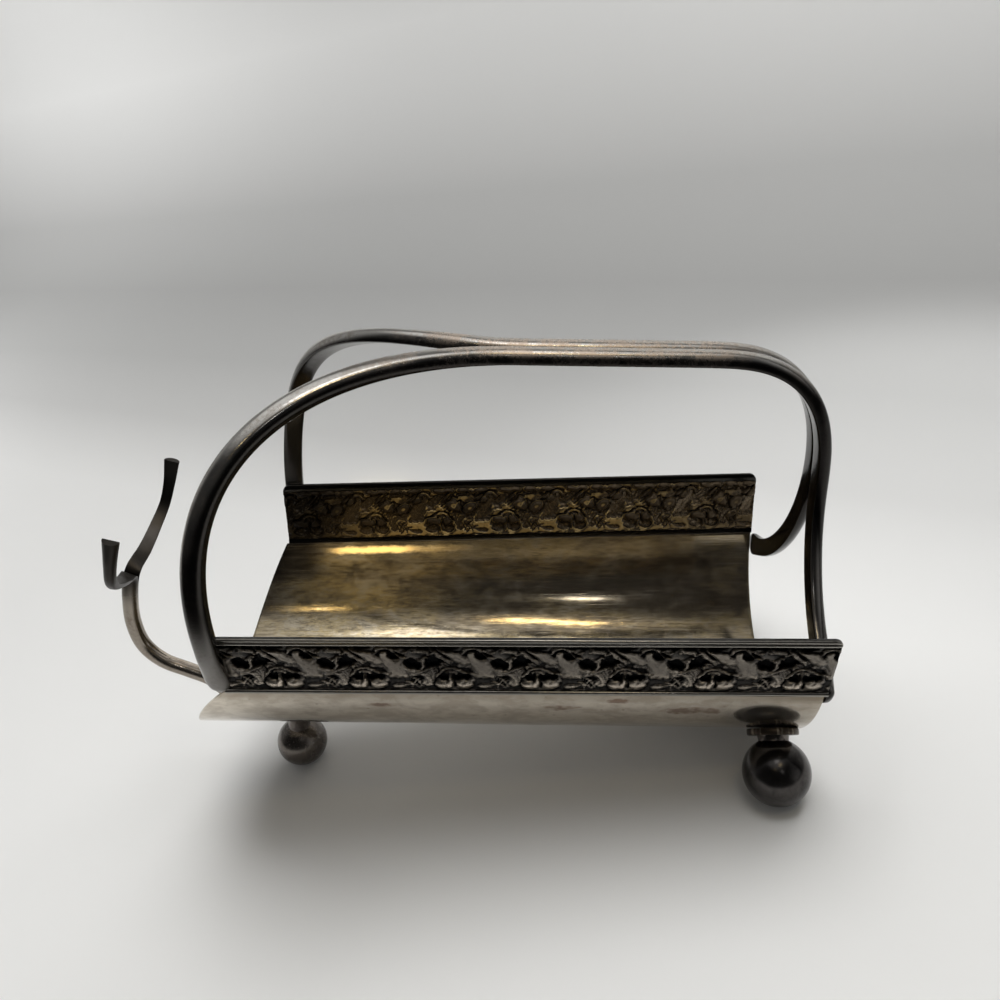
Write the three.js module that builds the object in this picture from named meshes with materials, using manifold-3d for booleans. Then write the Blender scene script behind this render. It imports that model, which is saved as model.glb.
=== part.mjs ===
// Serving basket: a silver-plated cradle that holds a bottle on its side, with a carrying handle.
// Units are millimetres. X runs along the trough from the neck rest to the base end, Y across it, Z up.
// Heights are measured from the centre line of the trough until the last lines set it on its feet.
import * as THREE from 'three';
import { mergeVertices } from 'three/addons/utils/BufferGeometryUtils.js';
import Module from 'manifold-3d';

const wasm = await Module();
wasm.setup();

// Driving dimensions

// Solder gap that is left open between neighbouring pieces.
const gap = 0.3;

// Half-round trough, a little narrower at the neck end, where its lip is rounded.
const trough = {
  length: 212,
  wideRadius: 54.1,
  narrowRadius: 49.6,
  sheet: 1.2,
  edgeDrop: 7.6,
  lipStart: 3,
  lipReach: 18.5,
  lipSharpness: 3.2,
  lipSkew: 0.35,
  columns: 60,
};

// Stamped gallery strip on each long edge, between a base bead and a two-bead top rim.
const gallery = {
  length: 214.5,
  overhang: 2,
  height: 28.3,
  flare: 4,
  sheet: 1,
  beadHeight: 2.1,
  beadWidth: 1.9,
  rimHeight: 3.3,
  rimWidth: 2,
  cornerRadius: 3,
};

// Half-round handle bar, flattened to a leaf on the gallery and to a tab on the trough's end.
const bar = {
  width: 8,
  thickness: 5.4,
  leafWidth: 9.2,
  leafThickness: 2.4,
  leafLength: 22,
  leafTip: 3,
  leafRound: 8,
  tabWidth: 10.4,
  tabThickness: 3.5,
  tabLength: 16,
  tabRound: 5.2,
};

// Route of the handle: up from the galleries, along the grip and down to the base end.
const handle = {
  gripHeight: 99.5,
  gripFall: 2.8,
  gripStart: -8,
  gripEnd: 75,
  kneeHeight: 52,
  kneeReach: 1.9,
  kneeBend: 13,
  kneeRise: 31.5,
  legFall: 28,
  legSpread: 0.48,
  tabLead: 7.5,
  armRoot: 3,
  armSpring: 72,
  armLift: 5,
  armSweep: 62,
  armSpread: 10,
};

// The two hand-bent bars stand a little differently on their galleries.
const frontArm = { side: -1, leafInset: -0.3, bow: -1.5, tabDrop: 2.8 };
const rearArm = { side: 1, leafInset: 4.5, bow: 9, tabDrop: 5.6 };

// Forked neck rest: two half-round bars joined into one round stem below the split.
const rest = {
  stemRadius: 3.1,
  tangThickness: 3,
  tangWidth: 4.6,
  tangStart: -84,
  reach: 163.3,
  bendHeight: -14.5,
  splitHeight: 11,
  tipHeight: 45.6,
  tipReach: 145.1,
  tipSpread: 30.6,
};

// One-inch ball feet splayed out at the base end, and a seven-eighths ball on a post at the neck end.
const baseFoot = {
  inset: 10.6,
  splay: THREE.MathUtils.degToRad(46.5),
  ballRadius: 12.7,
  neckLength: 1.66,
  neckRadius: 6.1,
  collarRadius: 9.7,
  collarHeight: 2.6,
};
const neckFoot = {
  inset: 4.5,
  splay: 0,
  ballRadius: 11.1,
  neckLength: 15.15,
  neckRadius: 5.3,
  collarRadius: 8.6,
  collarHeight: 2.4,
};
// Flat worn under each ball where it stands.
const wear = 0.25;

// Finishes, all silver plate on brass in different states of tarnish

const finishes = {
  trough: { color: 0x7d735f, roughness: 0.32, metalness: 1 },
  stamped: { color: 0x4a4740, roughness: 0.42, metalness: 1 },
  bar: { color: 0x6d6a66, roughness: 0.25, metalness: 1 },
  ball: { color: 0x4d4b4a, roughness: 0.22, metalness: 1 },
  collar: { color: 0x5b5247, roughness: 0.3, metalness: 1 },
};

// Geometry helpers

/** A closed body through rings of points that all go round the same way, with flat ends. */
function bodyThrough(rings) {
  const count = rings[0].length;
  const points = rings.flat();
  const last = points.length - count;
  const faces = [];
  for (let start = 0; start < last; start += count) {
    for (let i = 0; i < count; i += 1) {
      const a = start + i;
      const b = start + ((i + 1) % count);
      faces.push([a, b, b + count], [a, b + count, a + count]);
    }
  }
  for (let i = 1; i + 1 < count; i += 1) {
    faces.push([0, i + 1, i], [last, last + i, last + i + 1]);
  }
  const outward = signedVolume(points, faces) > 0;
  const index = faces.flatMap(([a, b, c]) => (outward ? [a, b, c] : [a, c, b]));
  const geometry = new THREE.BufferGeometry().setFromPoints(points);
  geometry.setIndex(index);
  geometry.computeVertexNormals();
  return geometry;
}

/** Six times the volume inside the faces, negative where they point inwards. */
function signedVolume(points, faces) {
  const cross = new THREE.Vector3();
  let sum = 0;
  for (const [a, b, c] of faces) {
    sum += cross.crossVectors(points[b], points[c]).dot(points[a]);
  }
  return sum;
}

/** The manifold-3d solid of a closed geometry. */
function solidOf(geometry) {
  const bare = new THREE.BufferGeometry();
  bare.setAttribute('position', geometry.getAttribute('position').clone());
  bare.setIndex(geometry.getIndex());
  const merged = mergeVertices(bare, 1e-4);
  const mesh = new wasm.Mesh({
    numProp: 3,
    vertProperties: new Float32Array(merged.getAttribute('position').array),
    triVerts: new Uint32Array(merged.getIndex().array),
  });
  return new wasm.Manifold(mesh);
}

/** The three.js geometry of a manifold-3d solid. */
function geometryOf(solid) {
  const mesh = solid.getMesh();
  const geometry = new THREE.BufferGeometry();
  geometry.setAttribute('position', new THREE.BufferAttribute(mesh.vertProperties, 3));
  geometry.setIndex(new THREE.BufferAttribute(mesh.triVerts, 1));
  geometry.computeVertexNormals();
  return geometry;
}

/** A named mesh with its own material. */
function piece(name, geometry, finish) {
  const mesh = new THREE.Mesh(geometry, new THREE.MeshStandardMaterial(finishes[finish]));
  mesh.name = name;
  return mesh;
}

/** Points of a bar's half-round section on its flat side, width along U and height along V. */
function halfRound(width, thickness, arcSteps = 8) {
  const shoulder = 0.3 * thickness;
  const outline = [[0, 0], [width / 2, 0]];
  for (let i = 0; i <= arcSteps; i += 1) {
    const angle = (Math.PI * i) / arcSteps;
    const height = shoulder + (thickness - shoulder) * Math.sin(angle);
    outline.push([(width / 2) * Math.cos(angle), height]);
  }
  outline.push([-width / 2, 0]);
  return outline;
}

/** A bar whose flat side follows a route: its crown faces crownAt(i, tangent), its size is sizeAt(i). */
function sweptBar(route, crownAt, sizeAt) {
  const rings = route.map((point, i) => {
    const before = route[Math.max(i - 1, 0)];
    const after = route[Math.min(i + 1, route.length - 1)];
    const tangent = after.clone().sub(before).normalize();
    const hint = crownAt(i, tangent);
    const across = new THREE.Vector3().crossVectors(tangent, hint).normalize();
    const crown = new THREE.Vector3().crossVectors(across, tangent);
    const { width, thickness } = sizeAt(i);
    return halfRound(width, thickness).map(([u, v]) =>
      point.clone().addScaledVector(across, u).addScaledVector(crown, v));
  });
  return bodyThrough(rings);
}

/** Route points at even spacing, with the joins between its curves eased. */
function easedRoute(curves, steps, passes) {
  const path = new THREE.CurvePath();
  curves.forEach((curve) => path.add(curve));
  let points = path.getSpacedPoints(steps);
  for (let pass = 0; pass < passes; pass += 1) {
    points = points.map((point, i) => {
      if (i === 0 || i === points.length - 1) return point;
      const middle = points[i - 1].clone().add(points[i + 1]).multiplyScalar(0.5);
      return point.clone().lerp(middle, 0.5);
    });
  }
  return points;
}

/** A value that eases from a to b as share goes from 0 to 1. */
function ease(a, b, share) {
  return THREE.MathUtils.lerp(a, b, THREE.MathUtils.smoothstep(share, 0, 1));
}

const vec = (x, y, z) => new THREE.Vector3(x, y, z);

// Sizes that follow from the trough

const baseEnd = trough.length / 2;
const neckEnd = -trough.length / 2;

/** Inner radius of the trough at x. */
function innerRadius(x) {
  const share = (x - neckEnd) / trough.length;
  return THREE.MathUtils.lerp(trough.narrowRadius, trough.wideRadius, share);
}

/** Outer radius of the trough at x. */
function outerRadius(x) {
  return innerRadius(x) + trough.sheet;
}

/** Half-width over the outside of the trough's top edges at x. */
function edgeHalfWidth(x) {
  return Math.sqrt(outerRadius(x) ** 2 - trough.edgeDrop ** 2);
}

/** Distance of the gallery sheet's middle from the centre plane at x and height z. */
function galleryOffset(x, z) {
  const share = (z + trough.edgeDrop) / gallery.height;
  return edgeHalfWidth(x) + gallery.flare * share;
}

/** Angle of the trough's top edge from straight down, for a radius. */
function edgeAngle(radius) {
  return Math.acos(trough.edgeDrop / radius);
}

// Trough

/** X of the rounded lip at the neck end, for a share from the front edge at -1 to the rear edge at 1. */
function lipX(share) {
  const reach = trough.lipReach * (1 - Math.abs(share) ** trough.lipSharpness);
  return neckEnd - trough.lipStart - reach * (1 - trough.lipSkew * share);
}

function troughPoint(x, share, radiusAt) {
  const radius = radiusAt(x);
  const angle = share * edgeAngle(radius);
  return vec(x, radius * Math.sin(angle), -radius * Math.cos(angle));
}

function makeTray() {
  const rings = [];
  for (let i = 0; i <= trough.columns; i += 1) {
    const share = (2 * i) / trough.columns - 1;
    const lip = lipX(share);
    rings.push([
      troughPoint(lip, share, outerRadius),
      troughPoint(baseEnd, share, outerRadius),
      troughPoint(baseEnd, share, innerRadius),
      troughPoint(lip, share, innerRadius),
    ]);
  }
  return piece('tray', bodyThrough(rings), 'trough');
}

/** A solid that fills the trough and a clearance round it, to cut what seats on its outside. */
function troughCutter() {
  const margin = 30;
  const start = neckEnd - margin;
  const end = baseEnd + margin;
  const cone = new THREE.CylinderGeometry(
    outerRadius(end) + gap, outerRadius(start) + gap, end - start, 180);
  cone.rotateZ(-Math.PI / 2);
  cone.translate((start + end) / 2, 0, 0);
  return cone;
}

// Galleries

const galleryStart = neckEnd - gallery.overhang;
const galleryEnd = galleryStart + gallery.length;
const galleryBottom = -trough.edgeDrop;
const galleryTop = galleryBottom + gallery.height;
const panelBottom = galleryBottom + gallery.beadHeight + gap;
const panelTop = galleryTop - gallery.rimHeight - gap;

/** Rings of a strip along the gallery, from a section of [out, up] points at each station. */
function galleryStrip(side, bottom, outline, stations) {
  const rings = stations.map(({ x, scale }) => outline.map(([out, up]) => {
    const z = bottom + up * scale;
    return vec(x, side * (galleryOffset(x, z) + out), z);
  }));
  return bodyThrough(rings);
}

/** The two ends of a straight strip. */
function plainStations() {
  return [galleryStart, galleryEnd].map((x) => ({ x, scale: 1 }));
}

/** Stations whose height rounds off to the corner radius at both ends. */
function roundedStations(height) {
  const steps = 4;
  const stations = [];
  for (let i = 0; i <= steps; i += 1) {
    const angle = (Math.PI / 2) * (i / steps);
    const fall = gallery.cornerRadius * (1 - Math.sin(angle));
    const inset = gallery.cornerRadius * (1 - Math.cos(angle));
    const scale = Math.max(1 - fall / height, 0.15);
    stations.push({ x: galleryStart + inset, scale });
    stations.push({ x: galleryEnd - inset, scale });
  }
  return stations.sort((a, b) => a.x - b.x);
}

function makeGalleryPanel(name, side) {
  const half = gallery.sheet / 2;
  const height = panelTop - panelBottom;
  const outline = [[-half, 0], [half, 0], [half, height], [-half, height]];
  const strip = galleryStrip(side, panelBottom, outline, plainStations());
  return piece(name, strip, 'stamped');
}

function makeTopRim(name, side) {
  const back = -gallery.sheet / 2;
  const beadHeight = gallery.rimHeight / 2;
  const outline = [[back, beadHeight], [back, 0]];
  for (const bead of [0, 1]) {
    for (let i = 0; i <= 5; i += 1) {
      const angle = (Math.PI * i) / 5;
      const out = back + gallery.rimWidth * (0.6 + 0.4 * Math.sin(angle));
      outline.push([out, beadHeight * (bead + 0.5 - 0.48 * Math.cos(angle))]);
    }
  }
  outline.push([back, gallery.rimHeight]);
  const stations = roundedStations(gallery.rimHeight);
  return piece(name, galleryStrip(side, panelTop + gap, outline, stations), 'stamped');
}

function makeBaseBead(name, side) {
  const back = -gallery.sheet / 2;
  const height = gallery.beadHeight - gap;
  const outline = [[back, height / 2], [back, 0]];
  for (let i = 0; i <= 6; i += 1) {
    const angle = (Math.PI * i) / 6;
    const out = back + gallery.beadWidth * (0.5 + 0.5 * Math.sin(angle));
    outline.push([out, height * (0.5 - 0.5 * Math.cos(angle))]);
  }
  outline.push([back, height]);
  const strip = galleryStrip(side, galleryBottom + gap, outline, plainStations());
  return piece(name, strip, 'stamped');
}

// Handle

const gripOffset = bar.width / 2 + gap / 2;
const tabX = baseEnd + gap;
const kneeX = baseEnd + handle.kneeReach;
const gripEndHeight = handle.gripHeight - handle.gripFall;

/** Distance of the leaf's flat side from the centre plane, lying on the gallery's rim and bead. */
function leafOffset(x, z) {
  const proud = Math.max(gallery.rimWidth, gallery.beadWidth) - gallery.sheet / 2;
  return galleryOffset(x + bar.leafWidth / 2, z) + proud + gap;
}

/** The bar's route along its flat side, from the tip of its leaf to the end of its tab. */
function handleRoute(arm) {
  const leafX = galleryStart + arm.leafInset;
  const rootZ = galleryTop + handle.armRoot;
  const tipZ = galleryBottom + bar.leafTip;
  const root = vec(leafX, leafOffset(leafX, rootZ), rootZ);
  const tip = vec(leafX, leafOffset(leafX, tipZ), tipZ);
  const gripStart = vec(handle.gripStart, gripOffset, handle.gripHeight);
  const gripEnd = vec(handle.gripEnd, gripOffset, gripEndHeight);
  const knee = vec(kneeX, gripOffset, handle.kneeHeight);
  const tab = vec(tabX, edgeHalfWidth(baseEnd), galleryBottom - arm.tabDrop);
  const curves = [
    new THREE.LineCurve3(tip, root),
    new THREE.CubicBezierCurve3(
      root,
      vec(leafX + arm.bow, root.y + 1, rootZ + handle.armSpring),
      vec(gripStart.x - handle.armSweep, gripOffset + handle.armSpread, gripStart.z + handle.armLift),
      gripStart,
    ),
    new THREE.LineCurve3(gripStart, gripEnd),
    new THREE.CubicBezierCurve3(
      gripEnd,
      vec(kneeX - handle.kneeBend, gripOffset, gripEndHeight - handle.gripFall / 2),
      vec(kneeX, gripOffset, handle.kneeHeight + handle.kneeRise),
      knee,
    ),
    new THREE.CubicBezierCurve3(
      knee,
      vec(kneeX, gripOffset, handle.kneeHeight - handle.legFall),
      vec(tabX, handle.legSpread * tab.y, tab.z + handle.tabLead),
      tab,
    ),
  ];
  const steps = 104;
  return easedRoute(curves, steps, 6).map((point) => vec(point.x, arm.side * point.y, point.z));
}

/** Width and thickness of the bar at a distance from its leaf's tip and from its tab's end. */
function barSize(fromTip, fromEnd) {
  const roundEnd = (distance, reach) => {
    if (distance >= reach) return 1;
    const inside = 1 - distance / reach;
    return Math.max(Math.sqrt(1 - inside ** 2), 0.2);
  };
  const leaf = fromTip / bar.leafLength;
  const tab = fromEnd / bar.tabLength;
  const width = Math.max(
    ease(bar.leafWidth, bar.width, leaf), ease(bar.tabWidth, bar.width, tab));
  const thickness = Math.min(
    ease(bar.leafThickness, bar.thickness, leaf), ease(bar.tabThickness, bar.thickness, tab));
  const ends = roundEnd(fromTip, bar.leafRound) * roundEnd(fromEnd, bar.tabRound);
  return { width: width * ends, thickness };
}

function makeHandleBar(name, arm) {
  const route = handleRoute(arm);
  const distances = [0];
  for (let i = 1; i < route.length; i += 1) {
    distances.push(distances[i - 1] + route[i].distanceTo(route[i - 1]));
  }
  const total = distances[distances.length - 1];
  const armEnd = route.findIndex((point) => point.x > handle.gripStart);
  const armStart = route.findIndex((point) => point.z > galleryTop);
  const crownAt = (i, tangent) => {
    const follow = vec(-tangent.z, 0, tangent.x);
    const outward = vec(0, arm.side, 0);
    const share = THREE.MathUtils.clamp((i - armStart) / (armEnd - armStart), 0, 1);
    return outward.lerp(follow, share);
  };
  const sizeAt = (i) => barSize(distances[i], total - distances[i]);
  return piece(name, sweptBar(route, crownAt, sizeAt), 'bar');
}

// Neck rest

/** Height of the middle of a bar of a given thickness that lies under the trough at x. */
function underTrough(x, thickness) {
  return -outerRadius(x) - gap - thickness / 2;
}

/** One side's route: under the trough, round the bend to the split, and out to the prong's tip. */
function restRoute(side) {
  const lip = lipX(0);
  const flat = (x) => underTrough(x, rest.tangThickness);
  const joined = gap / 2;
  const rise = rest.bendHeight - flat(lip);
  const run = rest.reach + lip;
  const spread = rest.tipSpread - joined;
  const climb = rest.tipHeight - rest.splitHeight;
  const back = rest.reach - rest.tipReach;
  const points = [
    [rest.tangStart, joined, flat(rest.tangStart)],
    [lip + 20, joined, flat(lip + 20)],
    [lip + 4, joined, flat(lip + 4)],
    [lip - 1.5, joined, flat(lip) - 0.4],
    [lip - 0.27 * run, joined, flat(lip) + 0.2 * rise],
    [lip - 0.5 * run, joined, flat(lip) + 0.32 * rise],
    [lip - 0.78 * run, joined, flat(lip) + 0.47 * rise],
    [lip - 0.95 * run, joined, flat(lip) + 0.69 * rise],
    [-rest.reach, joined, rest.bendHeight],
    [-rest.reach + 0.1 * back, joined, rest.bendHeight + 0.55 * (rest.splitHeight - rest.bendHeight)],
    [-rest.reach + 0.28 * back, joined + 0.04 * spread, rest.splitHeight],
    [-rest.reach + 0.42 * back, joined + 0.34 * spread, rest.splitHeight + 0.13 * climb],
    [-rest.reach + 0.54 * back, joined + 0.68 * spread, rest.splitHeight + 0.29 * climb],
    [-rest.reach + 0.68 * back, joined + 0.9 * spread, rest.splitHeight + 0.47 * climb],
    [-rest.reach + 0.84 * back, joined + 0.98 * spread, rest.splitHeight + 0.72 * climb],
    [-rest.tipReach, rest.tipSpread, rest.tipHeight],
  ];
  const curve = new THREE.CatmullRomCurve3(points.map(([x, y, z]) => vec(x, side * y, z)));
  return curve.getSpacedPoints(72);
}

function makeRestBar(name, side) {
  const route = restRoute(side);
  const lip = lipX(0);
  const sizeAt = (i) => {
    const free = (lip - 1 - route[i].x) / 9;
    return {
      width: ease(rest.tangThickness, 2 * rest.stemRadius, free),
      thickness: ease(rest.tangWidth, rest.stemRadius, free),
    };
  };
  return piece(name, sweptBar(route, () => vec(0, side, 0), sizeAt), 'bar');
}

// Feet

const baseFootX = baseEnd - baseFoot.inset;
const neckFootX = neckEnd + neckFoot.inset;
const tangStack = rest.tangThickness + 2 * gap;

/** Height above the ball's centre at which the neck meets it. */
function neckSeat(foot) {
  return Math.sqrt(foot.ballRadius ** 2 - foot.neckRadius ** 2);
}

/** Distance from a ball's centre up to the top of its collar. */
function footHeight(foot) {
  return neckSeat(foot) + gap + foot.neckLength + gap + foot.collarHeight;
}

/** Centre of the ball of a foot at x, whose collar stands off the trough. */
function ballCentre(foot, x, side, standOff) {
  const radial = outerRadius(x) + standOff + footHeight(foot);
  return vec(x, side * radial * Math.sin(foot.splay), -radial * Math.cos(foot.splay));
}

/** Angle of the floor to the trough: the plane that rests on the undersides of all three balls. */
function floorTilt() {
  const line = ballCentre(baseFoot, baseFootX, 1, 0);
  line.sub(ballCentre(neckFoot, neckFootX, 0, tangStack));
  line.y = 0;
  const slope = Math.atan2(line.z, line.x);
  return slope - Math.asin((baseFoot.ballRadius - neckFoot.ballRadius) / line.length());
}

const tilt = floorTilt();
const floorUp = vec(-Math.sin(tilt), 0, Math.cos(tilt));

function makeBall(name, foot, frame) {
  const up = floorUp.clone().transformDirection(frame.clone().invert());
  const ball = solidOf(new THREE.SphereGeometry(foot.ballRadius, 36, 22))
    .trimByPlane([0, -1, 0], -neckSeat(foot))
    .trimByPlane(up.toArray(), wear - foot.ballRadius);
  return piece(name, geometryOf(ball), 'ball');
}

function makeNeck(name, foot) {
  const bottom = neckSeat(foot) + gap;
  const height = foot.neckLength;
  const top = bottom + height;
  const waist = 0.22 * Math.min(foot.neckRadius, height);
  const profile = [new THREE.Vector2(0, bottom)];
  const steps = 6;
  for (let i = 0; i <= steps; i += 1) {
    const share = i / steps;
    const radius = foot.neckRadius - waist * Math.sin(Math.PI * share);
    profile.push(new THREE.Vector2(radius, bottom + height * share));
  }
  profile.push(new THREE.Vector2(0, top));
  return piece(name, new THREE.LatheGeometry(profile, 36), 'ball');
}

/** Round collar, its top cut to the trough's outside where it stands straight on it. */
function makeCollar(name, foot, frame) {
  const top = footHeight(foot);
  const bottom = top - foot.collarHeight;
  const edge = 0.15 * foot.collarHeight;
  const profile = [
    [0, bottom],
    [foot.collarRadius - edge, bottom],
    [foot.collarRadius, bottom + edge],
    [foot.collarRadius, top - edge],
    [foot.collarRadius - edge, top],
    [0, top],
  ].map(([radius, height]) => new THREE.Vector2(radius, height));
  const collar = solidOf(new THREE.LatheGeometry(profile, 48));
  const cutter = solidOf(troughCutter().applyMatrix4(frame.clone().invert()));
  return piece(name, geometryOf(collar.subtract(cutter)), 'collar');
}

/** A foot's ball, neck and collar in a group whose local Y runs up the foot's own axis. */
function makeFoot(name, foot, x, side, standOff) {
  const group = new THREE.Group();
  group.position.copy(ballCentre(foot, x, side, standOff));
  group.rotation.set(Math.PI / 2 + side * foot.splay, 0, 0);
  group.updateMatrix();
  const frame = group.matrix;
  group.add(makeBall(`${name}_ball`, foot, frame));
  group.add(makeNeck(`${name}_neck`, foot));
  group.add(makeCollar(`${name}_collar`, foot, frame));
  return group;
}

// Assembly

function makeCradle() {
  const cradle = new THREE.Group();
  cradle.add(makeTray());
  for (const [name, side] of [['front', -1], ['rear', 1]]) {
    cradle.add(makeGalleryPanel(`${name}_gallery`, side));
    cradle.add(makeTopRim(`${name}_top_rim`, side));
    cradle.add(makeBaseBead(`${name}_base_bead`, side));
    cradle.add(makeRestBar(`${name}_neck_rest_bar`, side));
    cradle.add(makeFoot(`${name}_foot`, baseFoot, baseFootX, side, 0));
  }
  cradle.add(makeHandleBar('front_handle_bar', frontArm));
  cradle.add(makeHandleBar('rear_handle_bar', rearArm));
  cradle.add(makeFoot('neck_foot', neckFoot, neckFootX, 0, tangStack));
  return cradle;
}

/** The cradle set on its feet, with the middle of its bounding box over the origin. */
function makeBasket() {
  const cradle = makeCradle();
  cradle.rotation.y = tilt;
  const basket = new THREE.Group();
  basket.name = 'serving_basket';
  basket.add(cradle);
  basket.updateMatrixWorld(true);
  const box = new THREE.Box3().setFromObject(basket, true);
  const middle = box.getCenter(new THREE.Vector3());
  cradle.position.set(-middle.x, -middle.y, -box.min.z);
  return basket;
}

export default makeBasket();
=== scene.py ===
"""Looks of a silver-plated serving basket: a tarnished bottle cradle built round its CAD frame."""

import logging
import math
from dataclasses import dataclass, field
from enum import Enum
from typing import Sequence

import bpy
import numpy as np
from mathutils import Matrix, Vector


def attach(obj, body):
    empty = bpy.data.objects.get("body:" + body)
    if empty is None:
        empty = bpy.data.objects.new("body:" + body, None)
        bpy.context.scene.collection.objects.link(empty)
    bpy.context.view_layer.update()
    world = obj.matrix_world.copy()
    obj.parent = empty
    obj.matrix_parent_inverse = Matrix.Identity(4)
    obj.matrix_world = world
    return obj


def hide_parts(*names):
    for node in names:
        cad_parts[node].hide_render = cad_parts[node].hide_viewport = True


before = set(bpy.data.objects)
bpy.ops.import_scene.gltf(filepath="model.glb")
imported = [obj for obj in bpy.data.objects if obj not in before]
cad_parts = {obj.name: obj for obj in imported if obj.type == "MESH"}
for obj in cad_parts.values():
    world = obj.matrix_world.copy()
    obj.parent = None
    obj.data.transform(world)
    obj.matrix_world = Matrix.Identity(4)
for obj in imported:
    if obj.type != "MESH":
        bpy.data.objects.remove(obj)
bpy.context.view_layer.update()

BODY = "root"
MM = 0.001

Point = tuple[float, float, float]
Colour = tuple[float, float, float]
Span = tuple[float, float]

log = logging.getLogger("basket")


# Shared sizes, in millimetres, in the cradle's own frame


@dataclass(frozen=True)
class Cradle:
    """The trough's sizes and the way the whole cradle stands on its feet."""

    tilt: float = math.radians(9.189)
    shift: Point = (23.066, 0.0, 75.982)
    length: float = 212.0
    wide_radius: float = 54.1
    narrow_radius: float = 49.6
    sheet: float = 1.2
    edge_drop: float = 7.6
    lip_start: float = 3.0
    lip_reach: float = 18.5
    lip_power: float = 3.2
    lip_skew: float = 0.35

    def place(self, points: np.ndarray) -> np.ndarray:
        """Turns cradle millimetres into metres of the standing object."""
        p = np.asarray(points, float).reshape(-1, 3)
        c, s = math.cos(self.tilt), math.sin(self.tilt)
        x = p[:, 0] * c + p[:, 2] * s + self.shift[0]
        z = -p[:, 0] * s + p[:, 2] * c + self.shift[2]
        return np.stack([x, p[:, 1] + self.shift[1], z], axis=1) * MM

    def unplace(self, points: np.ndarray) -> np.ndarray:
        """Turns metres of the standing object back into cradle millimetres."""
        p = np.asarray(points, float) / MM - np.array(self.shift)
        c, s = math.cos(self.tilt), math.sin(self.tilt)
        return np.stack([p[:, 0] * c - p[:, 2] * s, p[:, 1], p[:, 0] * s + p[:, 2] * c], axis=1)

    def inner_radius(self, x: np.ndarray) -> np.ndarray:
        """Inner radius of the trough at x."""
        share = (x + self.length / 2) / self.length
        return self.narrow_radius + (self.wide_radius - self.narrow_radius) * share

    def outer_radius(self, x: np.ndarray) -> np.ndarray:
        """Outer radius of the trough at x."""
        return self.inner_radius(x) + self.sheet

    def edge_half_width(self, x: np.ndarray) -> np.ndarray:
        """Half-width over the outside of the trough's top edges."""
        return np.sqrt(self.outer_radius(x) ** 2 - self.edge_drop ** 2)

    def lip_x(self, share: np.ndarray) -> np.ndarray:
        """X of the rounded lip, for a share from the front edge at -1 to the rear edge at 1."""
        reach = self.lip_reach * (1 - np.abs(share) ** self.lip_power)
        return -self.length / 2 - self.lip_start - reach * (1 - self.lip_skew * share)


CRADLE = Cradle()


@dataclass(frozen=True)
class GallerySizes:
    """Sizes of the stamped strips and of where they stand on the trough."""

    length: float = 214.5
    overhang: float = 2.0
    height: float = 28.3
    flare: float = 4.0
    sheet: float = 1.0
    bead_height: float = 2.1
    bead_width: float = 1.9
    rim_height: float = 3.3
    rim_width: float = 2.0
    corner: float = 3.0

    @property
    def start(self) -> float:
        """X of the neck end."""
        return -CRADLE.length / 2 - self.overhang

    @property
    def end(self) -> float:
        """X of the base end."""
        return self.start + self.length

    @property
    def bottom(self) -> float:
        """Height of the lower edge."""
        return -CRADLE.edge_drop

    @property
    def top(self) -> float:
        """Height of the upper edge."""
        return self.bottom + self.height

    def offset(self, x: np.ndarray, z: np.ndarray) -> np.ndarray:
        """Distance of the sheet's middle from the centre plane."""
        return CRADLE.edge_half_width(x) + self.flare * (z - self.bottom) / self.height


GALLERY = GallerySizes()

# Room for the solder between two pieces
GAP = 0.3


# Modelling helpers


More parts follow.
